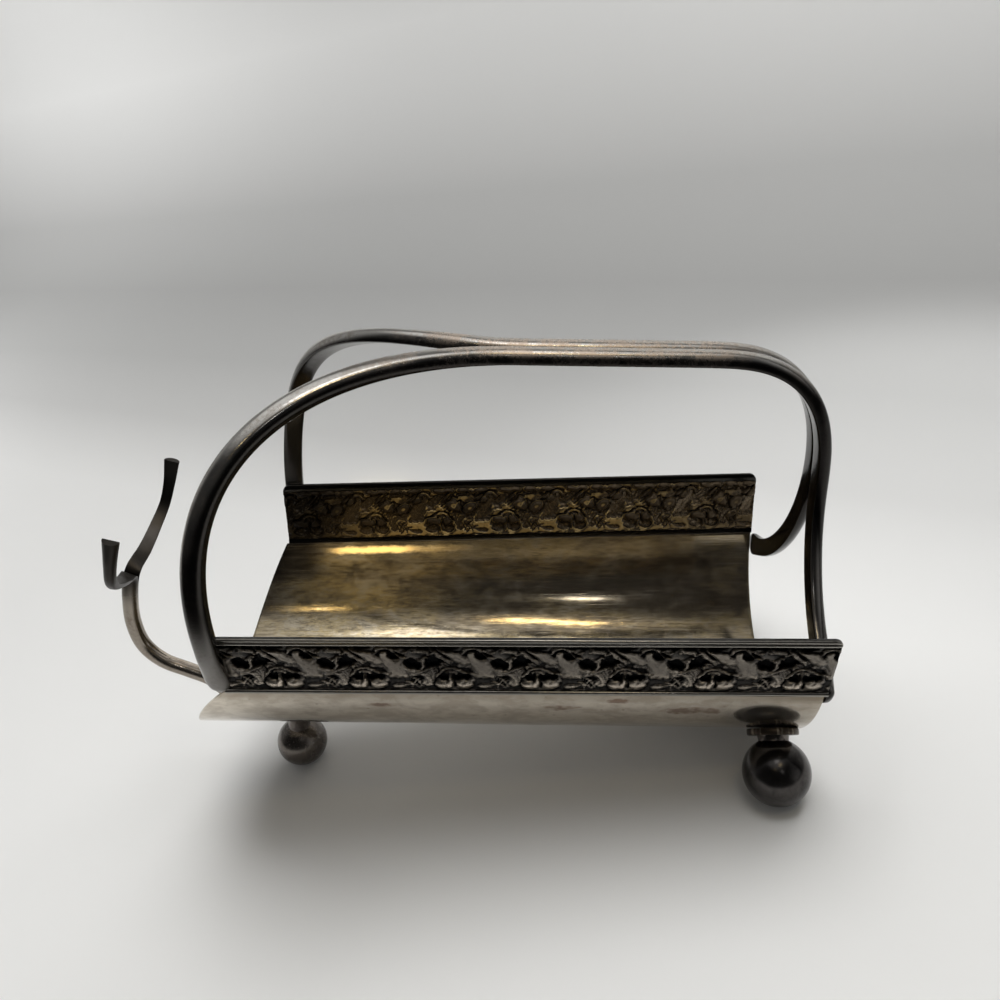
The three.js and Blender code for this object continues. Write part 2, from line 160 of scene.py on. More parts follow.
class Bench:
    """The modelling steps that every piece shares, and the distances in metres at which points merge."""

    seam: float = 1e-7
    pole: float = 1e-6

    @staticmethod
    def clear() -> None:
        """Leaves nothing selected."""
        bpy.ops.object.select_all(action="DESELECT")

    @staticmethod
    def pick(piece: bpy.types.Object) -> None:
        """Selects one piece and makes it active."""
        Bench.clear()
        piece.select_set(True)
        bpy.context.view_layer.objects.active = piece

    @staticmethod
    def points(piece: bpy.types.Object) -> np.ndarray:
        """The piece's vertices as rows of x, y, z."""
        flat = np.zeros(len(piece.data.vertices) * 3)
        piece.data.vertices.foreach_get("co", flat)
        return flat.reshape(-1, 3)

    @staticmethod
    def move_points(piece: bpy.types.Object, points: np.ndarray) -> None:
        """Puts the piece's vertices at new places."""
        piece.data.vertices.foreach_set("co", np.asarray(points, float).ravel())
        piece.data.update()

    @staticmethod
    def named(name: str) -> bpy.types.Object:
        """Names the primitive that was just added, and returns it."""
        piece = bpy.context.object
        piece.name = name
        piece.data.name = name
        return piece

    @staticmethod
    def grid(name: str, columns: int, rows: int) -> tuple[bpy.types.Object, np.ndarray, np.ndarray]:
        """A flat grid to be formed.

        Args:
            name: The piece's name.
            columns: Faces along its first side.
            rows: Faces along its second side.

        Returns:
            The piece, and for each vertex its shares of the way along the two sides.
        """
        Bench.clear()
        bpy.ops.mesh.primitive_grid_add(x_subdivisions=columns, y_subdivisions=rows, size=1)
        piece = Bench.named(name)
        flat = Bench.points(piece)
        return piece, flat[:, 0] + 0.5, flat[:, 1] + 0.5

    @staticmethod
    def apply(piece: bpy.types.Object, kind: str, **settings: object) -> None:
        """Adds a modifier with its settings and applies it."""
        Bench.pick(piece)
        modifier = piece.modifiers.new(kind.lower(), kind)
        for key, value in settings.items():
            setattr(modifier, key, value)
        bpy.ops.object.modifier_apply(modifier=modifier.name)

    @staticmethod
    def edit(piece: bpy.types.Object) -> None:
        """Opens the piece in edit mode with all its vertices selected."""
        Bench.pick(piece)
        bpy.ops.object.mode_set(mode="EDIT")
        bpy.ops.mesh.select_mode(type="VERT")
        bpy.ops.mesh.select_all(action="SELECT")

    @staticmethod
    def done() -> None:
        """Leaves edit mode."""
        bpy.ops.object.mode_set(mode="OBJECT")

    @staticmethod
    def outward(piece: bpy.types.Object) -> None:
        """Turns all faces outward."""
        Bench.edit(piece)
        bpy.ops.mesh.normals_make_consistent(inside=False)
        Bench.done()

    @staticmethod
    def smooth(piece: bpy.types.Object, degrees: float = 40.0) -> None:
        """Shades the piece smooth, with creases past an angle."""
        Bench.pick(piece)
        bpy.ops.object.shade_smooth_by_angle(angle=math.radians(degrees))

    @staticmethod
    def tube(name: str, rings: np.ndarray) -> bpy.types.Object:
        """A closed bar through rings of points: a grid wrapped round, its seam merged and its ends filled.

        Args:
            name: The piece's name.
            rings: Metres, by ring, then by point round the ring, then x, y, z.

        Returns:
            The piece.
        """
        count, around = rings.shape[:2]
        piece, u, v = Bench.grid(name, around, count - 1)
        ring = np.rint(v * (count - 1)).astype(int)
        spot = np.rint(u * around).astype(int) % around
        Bench.move_points(piece, rings[ring, spot])
        Bench.edit(piece)
        bpy.ops.mesh.remove_doubles(threshold=Bench.seam)
        bpy.ops.mesh.select_all(action="DESELECT")
        bpy.ops.mesh.select_non_manifold(extend=False)
        bpy.ops.mesh.fill_holes(sides=0)
        bpy.ops.mesh.select_all(action="SELECT")
        bpy.ops.mesh.normals_make_consistent(inside=False)
        Bench.done()
        return piece

    @staticmethod
    def lathe(name: str, profile: Sequence[tuple[float, float]], steps: int) -> bpy.types.Object:
        """A turned piece about the Z axis: a chain of edges, spun all the way round.

        Args:
            name: The piece's name.
            profile: Radius and height of each point, from the axis back to the axis.
            steps: Faces round the piece.

        Returns:
            The piece, still at the origin.
        """
        Bench.clear()
        bpy.ops.mesh.primitive_plane_add(size=1)
        piece = Bench.named(name)
        Bench.edit(piece)
        bpy.ops.mesh.merge(type="CENTER")
        bpy.ops.transform.translate(value=(profile[0][0], 0, profile[0][1]))
        for before, after in zip(profile, profile[1:]):
            step = (after[0] - before[0], 0, after[1] - before[1])
            bpy.ops.mesh.extrude_region_move(TRANSFORM_OT_translate={"value": step})
        bpy.ops.mesh.select_all(action="SELECT")
        bpy.ops.mesh.spin(steps=steps, angle=math.tau, center=(0, 0, 0), axis=(0, 0, 1))
        bpy.ops.mesh.select_all(action="SELECT")
        bpy.ops.mesh.remove_doubles(threshold=Bench.pole)
        bpy.ops.mesh.normals_make_consistent(inside=False)
        Bench.done()
        return piece

    @staticmethod
    def values(piece: bpy.types.Object, name: str, numbers: np.ndarray) -> None:
        """Stores one number for each vertex under a name that the finish reads."""
        layer = piece.data.attributes.new(name, "FLOAT", "POINT")
        layer.data.foreach_set("value", np.asarray(numbers, np.float32))


def ease(share: np.ndarray) -> np.ndarray:
    """Smooth step from 0 to 1."""
    share = np.clip(share, 0.0, 1.0)
    return share * share * (3 - 2 * share)


def blend(a: float, b: float, share: np.ndarray) -> np.ndarray:
    """A value that eases from a to b."""
    return a + (b - a) * ease(share)


def ripple(x: np.ndarray, y: np.ndarray, seed: int, scale: float, waves: int = 7) -> np.ndarray:
    """Slow hand-made waviness between about -1 and 1, at a scale in millimetres."""
    random = np.random.default_rng(seed)
    total = np.zeros(np.broadcast(x, y).shape)
    for _ in range(waves):
        angle, phase = random.uniform(0, math.tau, 2)
        pitch = scale * random.uniform(0.7, 1.8)
        total += np.sin((x * math.cos(angle) + y * math.sin(angle)) * math.tau / pitch + phase)
    return total / waves


def smooth_through(values: np.ndarray, at: np.ndarray) -> np.ndarray:
    """Values of a smooth curve through evenly spaced ones, at fractional places."""
    i = np.clip(at.astype(int), 0, len(values) - 2)
    f = at - i
    e = np.r_[2 * values[0] - values[1], values, 2 * values[-1] - values[-2]]
    a, b, c, d = e[i], e[i + 1], e[i + 2], e[i + 3]
    square, cube = 2 * a - 5 * b + 4 * c - d, 3 * b - a - 3 * c + d
    return 0.5 * (2 * b + (c - a) * f + square * f ** 2 + cube * f ** 3)


# Routes of the bars


def bezier(start: Point, leave: Point, arrive: Point, end: Point, count: int = 120) -> np.ndarray:
    """Points on a cubic curve that leaves its start towards one point and comes to its end from another."""
    t = np.linspace(0, 1, count)[:, None]
    a, b, c, d = (np.array(p, float)[None, :] for p in (start, leave, arrive, end))
    return a * (1 - t) ** 3 + 3 * b * t * (1 - t) ** 2 + 3 * c * t * t * (1 - t) + d * t ** 3


def run_of(points: np.ndarray) -> np.ndarray:
    """How far along a line each of its points lies."""
    return np.r_[0, np.cumsum(np.linalg.norm(np.diff(points, axis=0), axis=1))]


def picked(points: np.ndarray, run: np.ndarray, wanted: np.ndarray) -> np.ndarray:
    """Points of a line at wanted distances along it."""
    return np.stack([np.interp(wanted, run, points[:, k]) for k in range(3)], axis=1)


def spaced(points: np.ndarray, count: int) -> np.ndarray:
    """The same line with its points at even distances."""
    keep = np.r_[True, np.linalg.norm(np.diff(points, axis=0), axis=1) > 1e-9]
    points = points[keep]
    run = run_of(points)
    return picked(points, run, np.linspace(0, run[-1], count))


def heading(points: np.ndarray) -> np.ndarray:
    """The direction of a line at each of its points, with length 1."""
    along = np.gradient(points, axis=0)
    return along / np.linalg.norm(along, axis=1)[:, None]


def eased(points: np.ndarray, passes: int) -> np.ndarray:
    """The line with its kinks relaxed, its ends kept."""
    for _ in range(passes):
        points[1:-1] = 0.5 * points[1:-1] + 0.25 * (points[:-2] + points[2:])
    return points


def through(points: np.ndarray, count: int, fine: int = 24) -> np.ndarray:
    """A smooth line through points that are unevenly spaced.

    Args:
        points: The points to pass through.
        count: How many evenly spaced points to return.
        fine: Steps between two of the points while the line is made.

    Returns:
        Points along the line.
    """
    points = np.asarray(points, float)
    ends = [2 * points[0] - points[1], 2 * points[-1] - points[-2]]
    ring = np.vstack([ends[0], points, ends[1]])
    line = []
    for i in range(1, len(ring) - 2):
        p = ring[i - 1:i + 3]
        gaps = np.maximum(np.linalg.norm(np.diff(p, axis=0), axis=1) ** 0.5, 1e-4)
        m1 = (p[1] - p[0]) / gaps[0] - (p[2] - p[0]) / (gaps[0] + gaps[1]) + (p[2] - p[1]) / gaps[1]
        m2 = (p[2] - p[1]) / gaps[1] - (p[3] - p[1]) / (gaps[1] + gaps[2]) + (p[3] - p[2]) / gaps[2]
        m1, m2 = m1 * gaps[1], m2 * gaps[1]
        t = np.linspace(0, 1, fine, endpoint=False)[:, None]
        line.append((2 * t ** 3 - 3 * t ** 2 + 1) * p[1] + (t ** 3 - 2 * t ** 2 + t) * m1
                    + (-2 * t ** 3 + 3 * t ** 2) * p[2] + (t ** 3 - t ** 2) * m2)
    line.append(points[-1:])
    return spaced(np.vstack(line), count)


def half_round(width: np.ndarray, thickness: np.ndarray, shoulder: float = 0.3,
               count: int = 30) -> tuple[np.ndarray, np.ndarray]:
    """A half-round bar's section at each station: width along U, height along V from the flat side.

    Args:
        width: Width at each station.
        thickness: Thickness at each station.
        shoulder: Height of its widest place as a share of the thickness.
        count: Points round the section.

    Returns:
        U and V of each point, by station and point.
    """
    turn = np.linspace(0, math.tau, count, endpoint=False) - math.pi / 2
    fullness = 1 - 0.93 * shoulder
    corner = 0.22
    u = np.sign(np.cos(turn)) * np.abs(np.cos(turn)) ** fullness / 2
    high = np.sin(turn)
    v = shoulder + np.where(high > 0, (1 - shoulder) * high, -shoulder * np.abs(high) ** corner)
    return width[:, None] * u[None, :], thickness[:, None] * v[None, :]


def swept(route: np.ndarray, crown_hint: np.ndarray, width: np.ndarray, thickness: np.ndarray,
          shoulder: float = 0.3) -> np.ndarray:
    """Rings of a half-round bar whose flat side follows a route.

    Args:
        route: Points along the flat side.
        crown_hint: The side that the crown faces at each point.
        width: Width at each point.
        thickness: Thickness at each point.
        shoulder: Height of the section's widest place as a share of the thickness.

    Returns:
        Rings by station, point and coordinate, in metres.
    """
    along = heading(route)
    across = np.cross(along, crown_hint)
    across /= np.linalg.norm(across, axis=1)[:, None]
    crown = np.cross(across, along)
    u, v = half_round(width, thickness, shoulder)
    rings = route[:, None, :] + u[..., None] * across[:, None, :] + v[..., None] * crown[:, None, :]
    return CRADLE.place(rings).reshape(rings.shape)


# The floral pattern


class FloralDie:
    """One repeat of the floral pattern that is rolled into the strips, as heights in millimetres."""

    pitch: float = 28.4
    high: float = 22.9
    bends: tuple[tuple[int, float], ...] = ((2, 0.28), (4, 0.24), (7, 0.15), (11, 0.09), (17, 0.04))
    ground: float = 0.12
    grain_depth: float = 0.035
    soft_edge: float = 0.13
    surroundings: float = 1.1
    ridge_fullness: float = 1.45
    groove_width: float = 0.14
    vein_depth: float = 0.2
    thinnest: float = 0.05

    def __init__(self, step: float = 0.1, seed: int = 7) -> None:
        """Lays out the repeat and bends its grid a little, as a cut die is never quite regular.

        Args:
            step: Distance between samples.
            seed: Starts the random waves.
        """
        self.step = step
        count, rows = round(self.pitch / step), round(self.high / step)
        s = (np.arange(count) + 0.5) * self.pitch / count
        t = (np.arange(rows) + 0.5) * self.high / rows
        plain_s, plain_t = np.meshgrid(s, t)
        self.heights = np.zeros_like(plain_s)
        k = math.tau / self.pitch
        random = np.random.default_rng(seed)
        self.s, self.t = plain_s.copy(), plain_t.copy()
        for waves, size in self.bends:
            a, b, c, d = random.uniform(0, math.tau, 4)
            ks, kt = waves * k * plain_s, waves * k * plain_t
            self.s += size * np.sin(ks + a + 0.8 * kt) + 0.6 * size * np.sin(1.1 * kt + b)
            self.t += 0.8 * size * np.sin(ks + c - 0.9 * kt) + 0.4 * size * np.sin(kt + d)
        self.grain = (np.sin(plain_s * 5.2 + 3 * np.sin(plain_t * 2.1))
                      * np.sin(plain_t * 4.7 + 2 * np.sin(plain_s * 1.7)))

    def _across(self, s: float) -> np.ndarray:
        """Distance along the strip from s, the short way round the repeat."""
        return (self.s - s + self.pitch / 2) % self.pitch - self.pitch / 2

    def _oval(self, s: float, t: float, long: float, short: float,
              turn: float) -> tuple[np.ndarray, np.ndarray]:
        """Coordinates in which an oval, turned by some degrees, is the unit circle."""
        c, n = math.cos(math.radians(turn)), math.sin(math.radians(turn))
        ds, dt = self._across(s), self.t - t
        return (ds * c + dt * n) / long, (dt * c - ds * n) / short

    def _raise(self, shape: np.ndarray, inside: np.ndarray, soft: float = 0.1) -> None:
        """Raises the sheet to a shape where it stands higher, with a softened join."""
        share = np.clip(0.5 + 0.5 * (shape - self.heights) / soft, 0, 1)
        joined = self.heights * (1 - share) + shape * share + soft * share * (1 - share)
        self.heights = np.where(inside, joined, self.heights)

    def pocket(self, s: float, t: float, long: float, short: float, turn: float, depth: float,
               edge: float = 0.25) -> None:
        """Sinks an oval hollow."""
        u, v = self._oval(s, t, long, short, turn)
        share = 1 / (1 + np.exp((np.hypot(u, v) - 0.9) / (0.35 * edge)))
        self.heights = self.heights * (1 - share) - depth * share

    def swell(self, s: float, t: float, long: float, short: float, turn: float, high: float,
              flat: float = 2.0) -> None:
        """Raises an oval swelling, fuller at its edge as flat grows."""
        u, v = self._oval(s, t, long, short, turn)
        rest = 1 - np.hypot(u, v) ** flat
        self._raise(high * np.sqrt(np.clip(rest, 0, 1)), rest > 0)

    def _spine(self, points: Sequence[tuple[float, float]],
               widths: Sequence[float]) -> tuple[np.ndarray, ...]:
        """Distances from a smooth line through points.

        Args:
            points: The line's points along and up the strip.
            widths: Half-widths at the points.

        Returns:
            Distance as a share of the half-width, the same with a sign for the side, and the
            share of the way along.
        """
        knots = np.arange(len(points))
        fine = np.linspace(0, knots[-1], 8 * knots[-1] + 1)
        table = np.column_stack([np.array(points, float), np.array(widths, float)])
        line = np.column_stack([smooth_through(table[:, k], fine) for k in range(3)])
        best = np.full(self.s.shape, np.inf)
        side, run = np.zeros_like(best), np.zeros_like(best)
        for i, (here, there) in enumerate(zip(line, line[1:])):
            step = there - here
            long = float(step[:2] @ step[:2]) + 1e-9
            ds, dt = self._across(here[0]), self.t - here[1]
            share = np.clip((ds * step[0] + dt * step[1]) / long, 0, 1)
            width = np.maximum(here[2] + step[2] * share, self.thinnest)
            far = np.hypot(ds - share * step[0], dt - share * step[1]) / width
            near = far < best
            best = np.where(near, far, best)
            side = np.where(near, np.sign(ds * step[1] - dt * step[0]) * far, side)
            run = np.where(near, (i + share) / (len(line) - 1), run)
        return best, side, run

    def ridge(self, points: Sequence[tuple[float, float]], wide: float, high: float,
              start: float = 1.0, end: float = 1.0) -> None:
        """Raises a crest along a line, its width scaled at its start and end."""
        widths = self.ridge_fullness * wide * np.linspace(start, end, len(points))
        best, _, _ = self._spine(points, widths)
        self._raise(high * np.clip(1 - best, 0, 1) ** 0.8, best < 1)

    def blade(self, points: Sequence[tuple[float, float]], widths: Sequence[float], high: float,
              veins: float = 0.0, groove: float = 0.3, lean: float = 0.0) -> None:
        """Raises a leaf along a line.

        Args:
            points: Its spine.
            widths: Its half-widths at those points.
            high: Its height.
            veins: How many side veins it has.
            groove: Depth of the groove along its spine, as a share of its height.
            lean: How far its height leans to one side.
        """
        best, side, run = self._spine(points, widths)
        body = high * np.sqrt(np.clip(1 - best ** 3, 0, 1)) * (1 + lean * side)
        body = body - groove * high * np.exp(-(side / self.groove_width) ** 2) * (run > 0.06)
        if veins:
            line = np.clip(np.sin((run * veins - 0.5 * np.abs(side)) * math.tau), 0, 1) ** 2
            body = body - self.vein_depth * high * line * (np.abs(side) > 0.15)
        self._raise(body, best < 1, 0.05)

    def scales(self, s: float, t: float, long: float, short: float, turn: float, pitch: float,
               high: float) -> None:
        """Covers an oval with rows of small round scales."""
        u, v = self._oval(s, t, long, short, turn)
        ds, dt = self._across(s) / pitch, (self.t - t) / pitch
        row = np.floor(dt)
        ds = ds + 0.5 * (row % 2)
        near = 1 - 4 * ((ds - np.floor(ds) - 0.5) ** 2 + (dt - row - 0.5) ** 2)
        bumps = high * (0.25 + np.sqrt(np.clip(near, 0, 1)))
        self.heights = np.where(u * u + v * v < 1, np.maximum(self.heights, bumps), self.heights)

    def _background(self) -> None:
        """The hollows behind the flowers and the leaves over them."""
        for s, long in ((0.5, 2.6), (9.5, 2.2), (14.6, 1.6), (19.0, 3.2), (24.0, 1.6)):
            self.pocket(s, 21.6, long, 1.3, 0, 0.8)
        self.pocket(10.3, 17.6, 1.9, 1.3, -28, 0.9)
        self.pocket(7.6, 19.2, 1.5, 1.0, 0, 0.8)
        self.pocket(16.2, 13.2, 3.3, 2.5, -12, 1.3, 0.2)
        self.pocket(20.8, 13.6, 2.3, 2.1, 0, 1.2, 0.2)
        self.pocket(-4.6, 16.2, 3.4, 2.2, 0, 1.0, 0.3)
        self.pocket(25.2, 14.6, 1.3, 1.0, 0, 0.9)
        self.pocket(24.0, 17.2, 1.0, 0.8, 0, 0.8)

    def _leaves(self) -> None:
        """The leaves, the fern and the scales between the flowers."""
        self.blade([(13.6, 11.6), (16.2, 9.4), (18.8, 6.8), (21.0, 3.4)], [0.8, 2.2, 2.6, 1.0], 0.75,
                   veins=5, groove=0.5)
        self.scales(21.1, 7.4, 1.5, 4.4, 6, 0.95, 0.55)
        self.ridge([(13.2, 12.0), (15.2, 10.1), (17.3, 9.6), (19.6, 10.6), (21.6, 12.1)], 0.55, 0.95)
        self.pocket(16.8, 5.4, 2.4, 2.3, -38, 0.7, 0.3)
        for share in np.linspace(0, 1, 5):
            foot = (15.2 + 3.4 * share, 7.6 - 4.6 * share)
            self.ridge([foot, (14.4 + 2.6 * share, 5.6 - 3.6 * share)], 0.3, 0.45, end=0.5)
            self.ridge([foot, (17.0 + 2.6 * share, 7.6 - 3.6 * share)], 0.28, 0.4, end=0.5)
        self.ridge([(14.6, 8.2), (16.6, 5.8), (19.0, 2.6)], 0.38, 0.55)
        root = (15.3, 3.4)
        for tip in ((12.2, 4.9), (12.0, 2.6), (14.4, 1.4), (17.6, 1.5), (16.4, 5.0)):
            middle = ((root[0] + tip[0]) / 2, (root[1] + tip[1]) / 2 + 0.2)
            self.ridge([root, middle, tip], 0.45, 0.6, end=0.4)
        self.swell(11.2, 2.6, 2.6, 1.5, 5, 0.45)
        self.blade([(6.8, 18.4), (7.6, 15.6), (9.2, 12.6), (10.8, 10.2), (12.6, 8.2)],
                   [1.4, 2.8, 3.7, 3.7, 1.8], 0.8, groove=0.06, lean=0.12)
        self.swell(8.6, 8.4, 1.7, 2.2, 10, 0.78, 2.4)
        self.swell(13.0, 8.0, 1.5, 1.7, -30, 0.85, 2.4)
        self.swell(10.9, 7.4, 1.6, 1.5, 0, 0.7, 2.4)
        self.blade([(-4.4, 21.0), (-2.0, 19.6), (0.6, 17.9), (3.0, 16.4), (5.4, 15.2)],
                   [0.25, 0.7, 1.5, 2.3, 1.4], 1.0, groove=0.08, lean=-0.1)
        self.swell(4.3, 15.4, 2.1, 2.5, -20, 1.0, 2.6)
        self.blade([(-6.0, 20.4), (-4.0, 18.0), (-2.2, 15.9), (-0.2, 14.0)], [0.2, 0.55, 0.7, 0.3], 0.8,
                   groove=0.2)
        self.blade([(1.8, 12.6), (4.0, 13.2), (6.2, 12.2)], [0.4, 0.9, 0.3], 0.55, groove=0.1)

    def _scrolls(self) -> None:
        """The tendrils, berries and scrolls along the top."""
        self.ridge([(3.6, 18.8), (5.4, 20.3), (7.4, 21.3), (9.4, 20.4), (11.2, 18.6), (12.8, 16.6),
                    (15.6, 15.9), (18.2, 15.4)], 0.42, 0.85, end=1.1)
        self.ridge([(9.8, 21.2), (11.4, 19.6), (13.6, 17.4)], 0.4, 0.75)
        self.swell(13.4, 19.2, 0.9, 0.8, 0, 0.7)
        self.swell(12.4, 18.2, 0.6, 0.6, 0, 0.7)
        for berry in range(6):
            self.swell(17.0 + 0.82 * berry, 19.5, 0.55, 1.0, 8, 0.85)
        self.swell(15.8, 19.0, 0.8, 0.6, 0, 0.6)
        self.ridge([(18.0, 11.8), (17.9, 14.2), (18.6, 16.3), (20.3, 17.2), (22.2, 15.8), (23.5, 13.6),
                    (24.6, 11.3)], 0.45, 0.9, start=0.8, end=0.9)
        self.ridge([(21.8, 18.2), (23.2, 19.2), (24.6, 18.6), (25.6, 17.0), (27.0, 15.7), (29.0, 15.0)],
                   0.5, 0.9, end=1.1)
        self.swell(27.2, 15.6, 1.0, 0.8, -20, 0.95)
        self.ridge([(23.2, 15.6), (25.0, 15.9), (26.6, 15.0)], 0.35, 0.7)
        self.ridge([(23.6, 12.9), (25.4, 13.6), (27.2, 13.2)], 0.35, 0.6)
        self.ridge([(24.2, 11.6), (25.8, 12.4), (27.4, 12.0)], 0.3, 0.55)
        self.scales(-6.6, 8.0, 1.5, 3.2, -14, 0.9, 0.5)

    def _holes(self) -> None:
        """The deep hollows that the leaves and scrolls hang over."""
        self.pocket(15.4, 13.9, 2.5, 2.5, -10, 1.6, 0.18)
        self.pocket(16.8, 13.0, 2.2, 1.8, -30, 1.5, 0.18)
        self.pocket(21.4, 14.2, 2.4, 2.1, 6, 1.5, 0.18)
        self.pocket(23.6, 13.6, 1.6, 1.3, -14, 1.3, 0.18)
        self.ridge([(18.4, 11.4), (18.9, 13.6), (19.3, 16.4)], 0.5, 0.55, end=0.7)
        self.pocket(10.0, 17.4, 1.8, 0.9, -32, 1.2, 0.2)
        self.pocket(-4.6, 15.6, 2.6, 1.5, -14, 1.2, 0.2)
        self.pocket(25.3, 14.5, 1.1, 0.8, 0, 1.2, 0.2)
        for s, long in ((0.2, 3.3), (11.0, 2.6), (18.4, 2.7), (24.2, 2.2)):
            self.pocket(s, 21.8, long, 1.1, 0, 1.4, 0.2)
        self.pocket(11.9, 18.4, 2.4, 0.6, -40, 1.0, 0.25)

    def _flower(self) -> None:
        """The two-lobed flower under its hood."""
        self.swell(1.0, 5.4, 6.4, 5.6, 0, 0.6, 3.0)
        self.pocket(-2.7, 7.5, 2.5, 2.3, 14, 1.2, 0.3)
        self.pocket(3.2, 7.2, 3.2, 2.4, -10, 1.2, 0.3)
        self.swell(-3.0, 3.4, 2.9, 2.1, -12, 1.1, 1.7)
        self.swell(3.7, 3.2, 3.8, 2.1, 6, 1.15, 1.7)
        self.blade([(-0.3, 8.0), (-0.8, 6.4), (-1.1, 4.6), (-1.0, 2.8)], [0.25, 0.6, 1.0, 1.1], 1.25,
                   groove=0.0)
        self.pocket(0.5, 4.0, 0.3, 2.4, 4, 0.4, 0.3)
        self.ridge([(-1.8, 9.0), (-1.0, 10.0), (0.0, 9.6), (0.8, 10.0), (1.6, 9.0)], 0.4, 0.8)
        self.ridge([(-5.4, 7.6), (-4.4, 9.4), (-2.6, 11.1), (-0.2, 11.8), (2.4, 10.9), (4.6, 9.3),
                    (6.8, 8.5), (8.2, 8.7)], 0.55, 1.15, start=0.8, end=0.8)
        self.ridge([(-1.0, 0.35), (14.0, 0.35), (29.0, 0.35)], 0.4, 0.35)

    def blurred(self, heights: np.ndarray, reach: float) -> np.ndarray:
        """The heights smoothed over a reach in millimetres, wrapping along the strip."""
        radius = max(1, int(3 * reach / self.step))
        offsets = np.arange(-radius, radius + 1)
        weights = np.exp(-0.5 * (offsets * self.step / reach) ** 2)
        weights /= weights.sum()
        along = sum(w * np.roll(heights, k, axis=1) for w, k in zip(weights, offsets))
        padded = np.pad(along, ((radius, radius), (0, 0)), mode="edge")
        rows = heights.shape[0]
        return sum(w * padded[k:k + rows] for k, w in enumerate(weights))

    def press(self) -> tuple[np.ndarray, np.ndarray]:
        """Cuts the whole repeat.

        Returns:
            Its heights, and how far each place stands over its surroundings.
        """
        wave = np.sin(2 * math.tau * self.s / self.pitch + 1)
        self.heights = self.ground * wave * np.sin(math.pi * self.t / self.high)
        self._background()
        self._leaves()
        self._scrolls()
        self._holes()
        self._flower()
        heights = self.blurred(self.heights + self.grain_depth * self.grain, self.soft_edge)
        return heights, heights - self.blurred(heights, self.surroundings)

    def sample(self, table: np.ndarray, s: np.ndarray, t: np.ndarray) -> np.ndarray:
        """Reads a table of the repeat at any places along and up the strip."""
        rows, count = table.shape
        x = (s % self.pitch) / self.pitch * count - 0.5
        y = np.clip(t / self.high * rows - 0.5, 0, rows - 1.001)
        i, j = np.floor(x).astype(int), np.floor(y).astype(int)
        fx, fy = x - i, y - j
        left, right = i % count, (i + 1) % count
        low = table[j, left] * (1 - fx) + table[j, right] * fx
        high = table[j + 1, left] * (1 - fx) + table[j + 1, right] * fx
        return low * (1 - fy) + high * fy


# Finishes


class Value:
    """A number in a finish's nodes that is used like a number in Python."""

    def __init__(self, graph: "Graph", socket: bpy.types.NodeSocket) -> None:
        """Wraps an output socket of a graph."""
        self.graph = graph
        self.socket = socket

    def _with(self, operation: str, first: "Value | float", second: "Value | float" = 0.0) -> "Value":
        """The result of one Math node."""
        node = self.graph.node("ShaderNodeMath", {"operation": operation}, {0: first, 1: second})
        return Value(self.graph, node.outputs[0])

    def __add__(self, other: "Value | float") -> "Value":
        """Sum."""
        return self._with("ADD", self, other)

    def __radd__(self, other: float) -> "Value":
        """Sum with a number first."""
        return self._with("ADD", other, self)

    def __sub__(self, other: "Value | float") -> "Value":
        """Difference."""
        return self._with("SUBTRACT", self, other)

    def __rsub__(self, other: float) -> "Value":
        """Difference from a number."""
        return self._with("SUBTRACT", other, self)

    def __mul__(self, other: "Value | float") -> "Value":
        """Product."""
        return self._with("MULTIPLY", self, other)

    def __rmul__(self, other: float) -> "Value":
        """Product with a number first."""
        return self._with("MULTIPLY", other, self)

    def size(self) -> "Value":
        """The value without its sign."""
        return self._with("ABSOLUTE", self)

    def step(self, low: float, high: float) -> "Value":
        """Eases from 0 at low to 1 at high, or back where low is the larger."""
        node = self.graph.node("ShaderNodeMapRange", {"interpolation_type": "SMOOTHSTEP"},
                               {"Value": self, "From Min": low, "From Max": high})
        return Value(self.graph, node.outputs["Result"])


class Graph:
    """The nodes of a material or of the room."""

    def __init__(self, tree: bpy.types.NodeTree) -> None:
        """Takes the node tree to fill."""
        self.tree = tree

    def node(self, kind: str, settings: dict | None = None, inputs: dict | None = None) -> bpy.types.Node:
        """Adds a node.

        Args:
            kind: Its type.
            settings: Its own settings, and under stops a ramp's places and colours.
            inputs: Values or links of its sockets, by name or number.

        Returns:
            The node.
        """
        made = self.tree.nodes.new(kind)
        settings = dict(settings or {})
        stops = settings.pop("stops", ())
        for key, value in settings.items():
            setattr(made, key, value)
        for number, (spot, colour) in enumerate(stops):
            ramp = made.color_ramp.elements
            stop = ramp[number] if number < 2 else ramp.new(spot)
            stop.position = spot
            stop.color = (*colour, 1.0)
        for key, value in (inputs or {}).items():
            value = getattr(value, "socket", value)
            if isinstance(value, bpy.types.NodeSocket):
                self.tree.links.new(value, made.inputs[key])
            else:
                made.inputs[key].default_value = value
        return made

    def parts(self, vector: bpy.types.NodeSocket) -> tuple[Value, ...]:
        """The three numbers of a vector."""
        split = self.node("ShaderNodeSeparateXYZ", {}, {0: vector})
        return tuple(Value(self, part) for part in split.outputs)

    def mix(self, share: Value, first: "Colour | bpy.types.NodeSocket",
            second: "Colour | bpy.types.NodeSocket") -> bpy.types.NodeSocket:
        """Blends two colours."""
        ends = [(*end, 1.0) if isinstance(end, tuple) else end for end in (first, second)]
        node = self.node("ShaderNodeMix", {"data_type": "RGBA", "clamp_factor": True},
                         {0: share, 6: ends[0], 7: ends[1]})
        return node.outputs[2]


